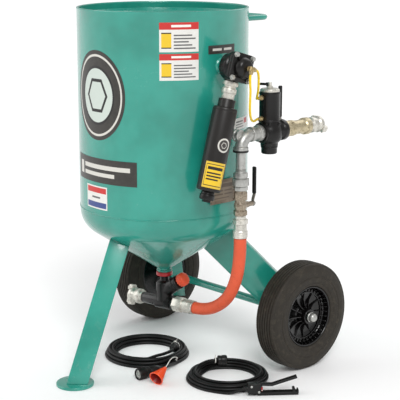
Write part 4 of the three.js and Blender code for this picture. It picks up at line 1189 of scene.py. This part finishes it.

# grip-to-run handle: the body rides the pot, the lever and safety flap ride their own bodies
deadPlace = potPlace @ spot(484, -38) @ turnedBy(52, "Z")
hold = [
    softened("deadmanHold", "deadman_body", 1.8),
    turned("entry", [(0, -16), (6.4, -16), (7.4, -12), (6.6, -11), (7.8, -8), (7, -7), (8.4, -4), (9, 1),
                     (0, 1)],
           deadPlace @ spot(0, 0, 24) @ alongX, 28, 0.5),
    block("endLip", (172, -13, 6), (177, 13, 18), deadPlace, 1.6),
]
hold = fit(joined("deadmanHold", *hold), "grip", "pot", "grip_black", "deadman_body")
rivets = []
for x, z in ((12, 34), (38, 14)):
    for turn in (90, -90):
        rivets.append(turned("rivet", [(0, 14.6), (4.4, 14.6), (4.2, 16), (2.6, 17), (0, 17.4)],
                             deadPlace @ spot(x, 0, z) @ turnedBy(turn, "X"), 24, 0.3))
rivets = fit(joined("deadmanRivets", *rivets), "zinc", "pot", "zinc")
fit(softened("deadmanLever", "deadman_lever", 1.6), "grip", "deadman_lever", "grip_black", "deadman_lever")
fit(softened("deadmanLock", "deadman_lock", 1.2), "lockRed", "deadman_lock", "red_plastic", "deadman_lock")
lockPin = turned("lockPin", [(0, -8), (1.6, -8), (1.6, 8), (0, 8)], deadPlace @ spot(49, 0, 18) @ alongY, 16,
                 0.3)
fit(lockPin, "tieWhite", "deadman_lock", "red_plastic")
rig.cord(rightCord, exit=rightLine[0], length=length(rightLine), diameter=10 * mm, far_end="tool",
        stiffness="medium", lay="coiled", path=plain(rightLine), with_pieces=[hold, rivets])
print("leads done")


# labels: thin sheets bent round the tank or the muffler, their UV square across the sheet
def ink(name, base, blocks, oval=None, gloss=0.3):
    coat = Coat(name, IOR=1.5)
    place = coat.where(source="UV")
    across, up = coat.axis(place, "X"), coat.axis(place, "Y")
    body = coat.where()
    cloud = coat.noise(body, 60.0, 5.0, 0.6)
    fibre = coat.noise(body, 600.0, 3.0)
    color = coat.mix(coat.span(cloud, 0.0, 0.25), base, tint(120, 116, 104))

    def inkBand(value, low, high):
        return value.math("GREATER_THAN", low) * value.math("LESS_THAN", high)

    for left, right, low, high, tone in blocks:
        color = coat.mix(inkBand(across, left, right) * inkBand(up, low, high), color, tone)
    if oval:
        x, y = (across - 0.5) * 2, (up - 0.5) * 2
        reach = coat.add("ShaderNodeVectorMath", {"operation": "LENGTH"},
                         {0: coat.add("ShaderNodeCombineXYZ", {}, {0: x, 1: y})}, out="Value")
        for low, high, tone in oval["rings"]:
            color = coat.mix(inkBand(reach, low, high), color, tone)
        six = (x.math("ABSOLUTE") * 0.866 + y.math("ABSOLUTE") * 0.5).math("MAXIMUM", y.math("ABSOLUTE"))
        color = coat.mix(inkBand(six, 0.3, 0.37), color, oval["hexagon"])
    scuff = coat.mask(coat.noise(body, 130.0, 7.0, 0.8), 0.6, 0.75)
    color = coat.mix(scuff * 0.3, color, tint(150, 146, 136))
    rough = coat.span(cloud, gloss, gloss + 0.15) + scuff * 0.2
    return coat.finish(color, rough, fibre, 0.00004)


def bent(name, place, radius, azimuth, width, low, high, printed, slotName, roundEdge=False):
    bpy.ops.object.select_all(action="DESELECT")
    bpy.ops.mesh.primitive_grid_add(x_subdivisions=40, y_subdivisions=24 if roundEdge else 6, size=2,
                                    calc_uvs=True)
    piece = bpy.context.object
    piece.name = name
    # the sheet is thick enough to have an edge; its outline is rounded before it is bent
    bpy.ops.object.mode_set(mode="EDIT")
    bpy.ops.mesh.select_all(action="SELECT")
    bpy.ops.mesh.extrude_region_move(TRANSFORM_OT_translate={"value": (0, 0, 1)})
    bpy.ops.mesh.select_all(action="SELECT")
    bpy.ops.mesh.normals_make_consistent(inside=False)
    bpy.ops.object.mode_set(mode="OBJECT")
    middle, tall = math.radians(azimuth), (high - low) / 2
    for corner in piece.data.vertices:
        x, y, z = corner.co
        if roundEdge:
            x, y = x * math.sqrt(1 - y * y / 2), y * math.sqrt(1 - x * x / 2)
        a = middle + x * width / 2 / radius
        reach = radius + 0.15 + 0.4 * z
        corner.co = (reach * math.cos(a) * mm, reach * math.sin(a) * mm, ((high + low) / 2 + y * tall) * mm)
    if roundEdge:
        # the pattern follows the sheet's own outline
        uv = piece.data.uv_layers.active.data
        for loop in piece.data.loops:
            x, y = uv[loop.index].uv[0] * 2 - 1, uv[loop.index].uv[1] * 2 - 1
            uv[loop.index].uv = (x * math.sqrt(1 - y * y / 2) / 2 + 0.5,
                                 y * math.sqrt(1 - x * x / 2) / 2 + 0.5)
    piece.data.transform(place)
    bpy.ops.object.shade_smooth_by_angle(angle=smoothAngle)
    paint[name] = printed
    fit(piece, name, "pot", slotName)


def onTank(name, azimuth, width, low, high, printed, roundEdge=False):
    bent(name, potPlace, tank["radius"], azimuth, width, low, high, printed, "pot_paint", roundEdge)


dark, pale, white = tint(26, 23, 24), tint(206, 204, 196), tint(232, 231, 226)
red, yellow, blue, grey = tint(196, 44, 40), tint(228, 190, 40), tint(52, 70, 130), tint(96, 96, 96)
badge = {"rings": [(0.86, 0.91, pale), (0.0, 0.66, tint(196, 206, 198)), (0.6, 0.66, dark)], "hexagon": dark}
onTank("badgeOval", -89, 250, 866, 1176, ink("badgeInk", dark, [], badge), True)
plateBlocks = [(0.08, 0.16, 0.24, 0.76, pale),
               (0.2, 0.92, 0.56, 0.74, pale), (0.2, 0.72, 0.26, 0.42, pale)]
onTank("plateDark", -87.5, 314, 716, 802, ink("plateInk", dark, plateBlocks))
stripes = [(0.04, 0.96, 0.7, 0.94, red), (0.04, 0.96, 0.06, 0.3, blue), (0.3, 0.7, 0.46, 0.54, grey)]
onTank("stripedSticker", -91.6, 116, 621, 703, ink("stripeInk", white, stripes))
for which, low, high in (("Upper", 1178, 1276), ("Lower", 1083, 1172)):
    rows = [(0.36, 0.92 - 0.09 * (k % 3), 0.1 + 0.11 * k, 0.15 + 0.11 * k, grey) for k in range(5)]
    card = [(0.0, 1.0, 0.76, 1.0, red), (0.3, 0.8, 0.84, 0.92, white), (0.05, 0.3, 0.12, 0.66, yellow),
            (0.05, 0.3, 0.12, 0.16, dark), (0.05, 0.3, 0.62, 0.66, dark), *rows]
    onTank("noticeLabel" + which, -30.3, 134.7, low, high, ink("noticeInk" + which, white, card))
stripBlocks = [(0.14, 0.46, 0.36, 0.64, pale), (0.54, 0.86, 0.36, 0.64, pale)]
onTank("stripLabel", 1, 123.5, 1166, 1195, ink("stripInk", dark, stripBlocks))
sideBlocks = [(0.6, 0.86, 0.42, 0.86, red), (0.1, 0.52, 0.62, 0.74, grey), (0.1, 0.5, 0.4, 0.48, grey),
              (0.1, 0.56, 0.18, 0.26, grey)]
onTank("sideLabel", 24.9, 128.8, 892, 933, ink("sideInk", white, sideBlocks))
bars = [(0.06, 0.94, 0.08, 0.92, dark), (0.08, 0.92, 0.11, 0.89, yellow), (0.14, 0.86, 0.7, 0.82, dark),
        (0.14, 0.8, 0.54, 0.6, dark), (0.14, 0.84, 0.42, 0.48, dark), (0.14, 0.7, 0.3, 0.36, dark)]
bent("mufflerLabel", portPlace, 42, -30, 76, -414, -326, ink("mufflerInk", yellow, bars), "muffler_black")
mark = {"rings": [(0.0, 1.0, tint(60, 56, 54)), (0.72, 0.92, pale)], "hexagon": pale}
bent("mufflerDot", portPlace, 42, -14, 48, -292, -240, ink("dotInk", dark, [], mark), "muffler_black", True)

# nameplate: a thin plate on two tabs, with four rivets and a plain printed field
namePieces = [
    block("nameSheet", (308, -54, 647), (311, 62, 731), potPlace, 0.6),
    block("nameTabFront", (296, -54, 655), (309, -50, 723), potPlace, 0.6),
    block("nameTabBack", (296, 58, 655), (309, 62, 723), potPlace, 0.6),
]
for y in (-48, 56):
    for z in (653, 725):
        namePieces.append(turned("nameRivet", [(0, 311), (3.2, 311), (3, 312), (1.8, 312.8), (0, 313)],
                                 potPlace @ spot(0, y, z) @ alongX, 16, 0.2))
fit(joined("nameplate", *namePieces), "plateMetalShaded", "pot", "steel", "nameplate")
bpy.ops.object.select_all(action="DESELECT")
bpy.ops.mesh.primitive_plane_add(size=1, calc_uvs=True)
field = bpy.context.object
field.name = "nameplateField"
field.data.transform(potPlace @ spot(311.2, 4, 689) @ turnedBy(90, "Z") @ turnedBy(90, "X")
                     @ Matrix.Diagonal((0.094, 0.062, 1, 1)))
thick = field.modifiers.new("thickness", "SOLIDIFY")
thick.thickness, thick.offset = 0.3 * mm, -1
bpy.ops.object.modifier_apply(modifier="thickness")
etched = tint(96, 84, 72)
fieldSpans = [(0.03, 0.97, 0.72, 0.94), (0.06, 0.5, 0.5, 0.58), (0.56, 0.94, 0.5, 0.58),
              (0.06, 0.5, 0.3, 0.38), (0.56, 0.94, 0.3, 0.38), (0.06, 0.8, 0.1, 0.16)]
fieldBlocks = [(*spans, etched) for spans in fieldSpans]
# the field's base is the same darkened plate tone, partly painted shade; the darker bars are etched lines
paint["field"] = ink("fieldInk", tint(132, 118, 102), fieldBlocks)
fit(field, "field", "pot", "steel")
print("labels done")

# floor and light
floorCoat = Coat("floorPale", Specular_IOR_Level=0.2)
floorPlace = floorCoat.where()
floorCloud = floorCoat.noise(floorPlace, 1.2, 3.0)
floorGrain = floorCoat.noise(floorPlace, 160.0, 3.0)
floorColor = floorCoat.mix(floorCloud, tint(248, 248, 248), tint(253, 253, 253))
floorCoat.finish(floorColor, floorCoat.span(floorCloud, 0.55, 0.65), floorGrain, 0.00003)
bpy.ops.object.select_all(action="DESELECT")
bpy.ops.mesh.primitive_plane_add(size=90)
floor = bpy.context.object
floor.name = "floor"
floor.data.materials.append(floorCoat.material)
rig.stage(floor)
world = bpy.data.worlds.new("studio")
scene.world = world
world.use_nodes = True
world.node_tree.nodes["Background"].inputs["Color"].default_value = (1, 1, 1, 1)
world.node_tree.nodes["Background"].inputs["Strength"].default_value = 0.58
lamps = {
    "keyLamp": {"place": (3.4, -2.2, 3.6), "angle": 24, "power": 1.7},
    "fillLamp": {"place": (-3.6, -3.4, 2.8), "angle": 50, "power": 0.9},
    "backLamp": {"place": (-1.0, 3.6, 3.0), "angle": 40, "power": 0.5},
}
for name, lamp in lamps.items():
    bpy.ops.object.light_add(type="SUN", location=lamp["place"])
    light = bpy.context.object
    light.name = name
    light.data.angle, light.data.energy = math.radians(lamp["angle"]), lamp["power"]
    light.rotation_euler = (-Vector(lamp["place"])).to_track_quat("-Z", "Y").to_euler()
    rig.stage(light)
scene.view_settings.view_transform = "Standard"
print("stage set")

with open("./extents.json", "w") as sizes:
    json.dump({"cad": [list(v) for v in cadBox], "visual": [list(v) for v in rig.bounds()]}, sizes)
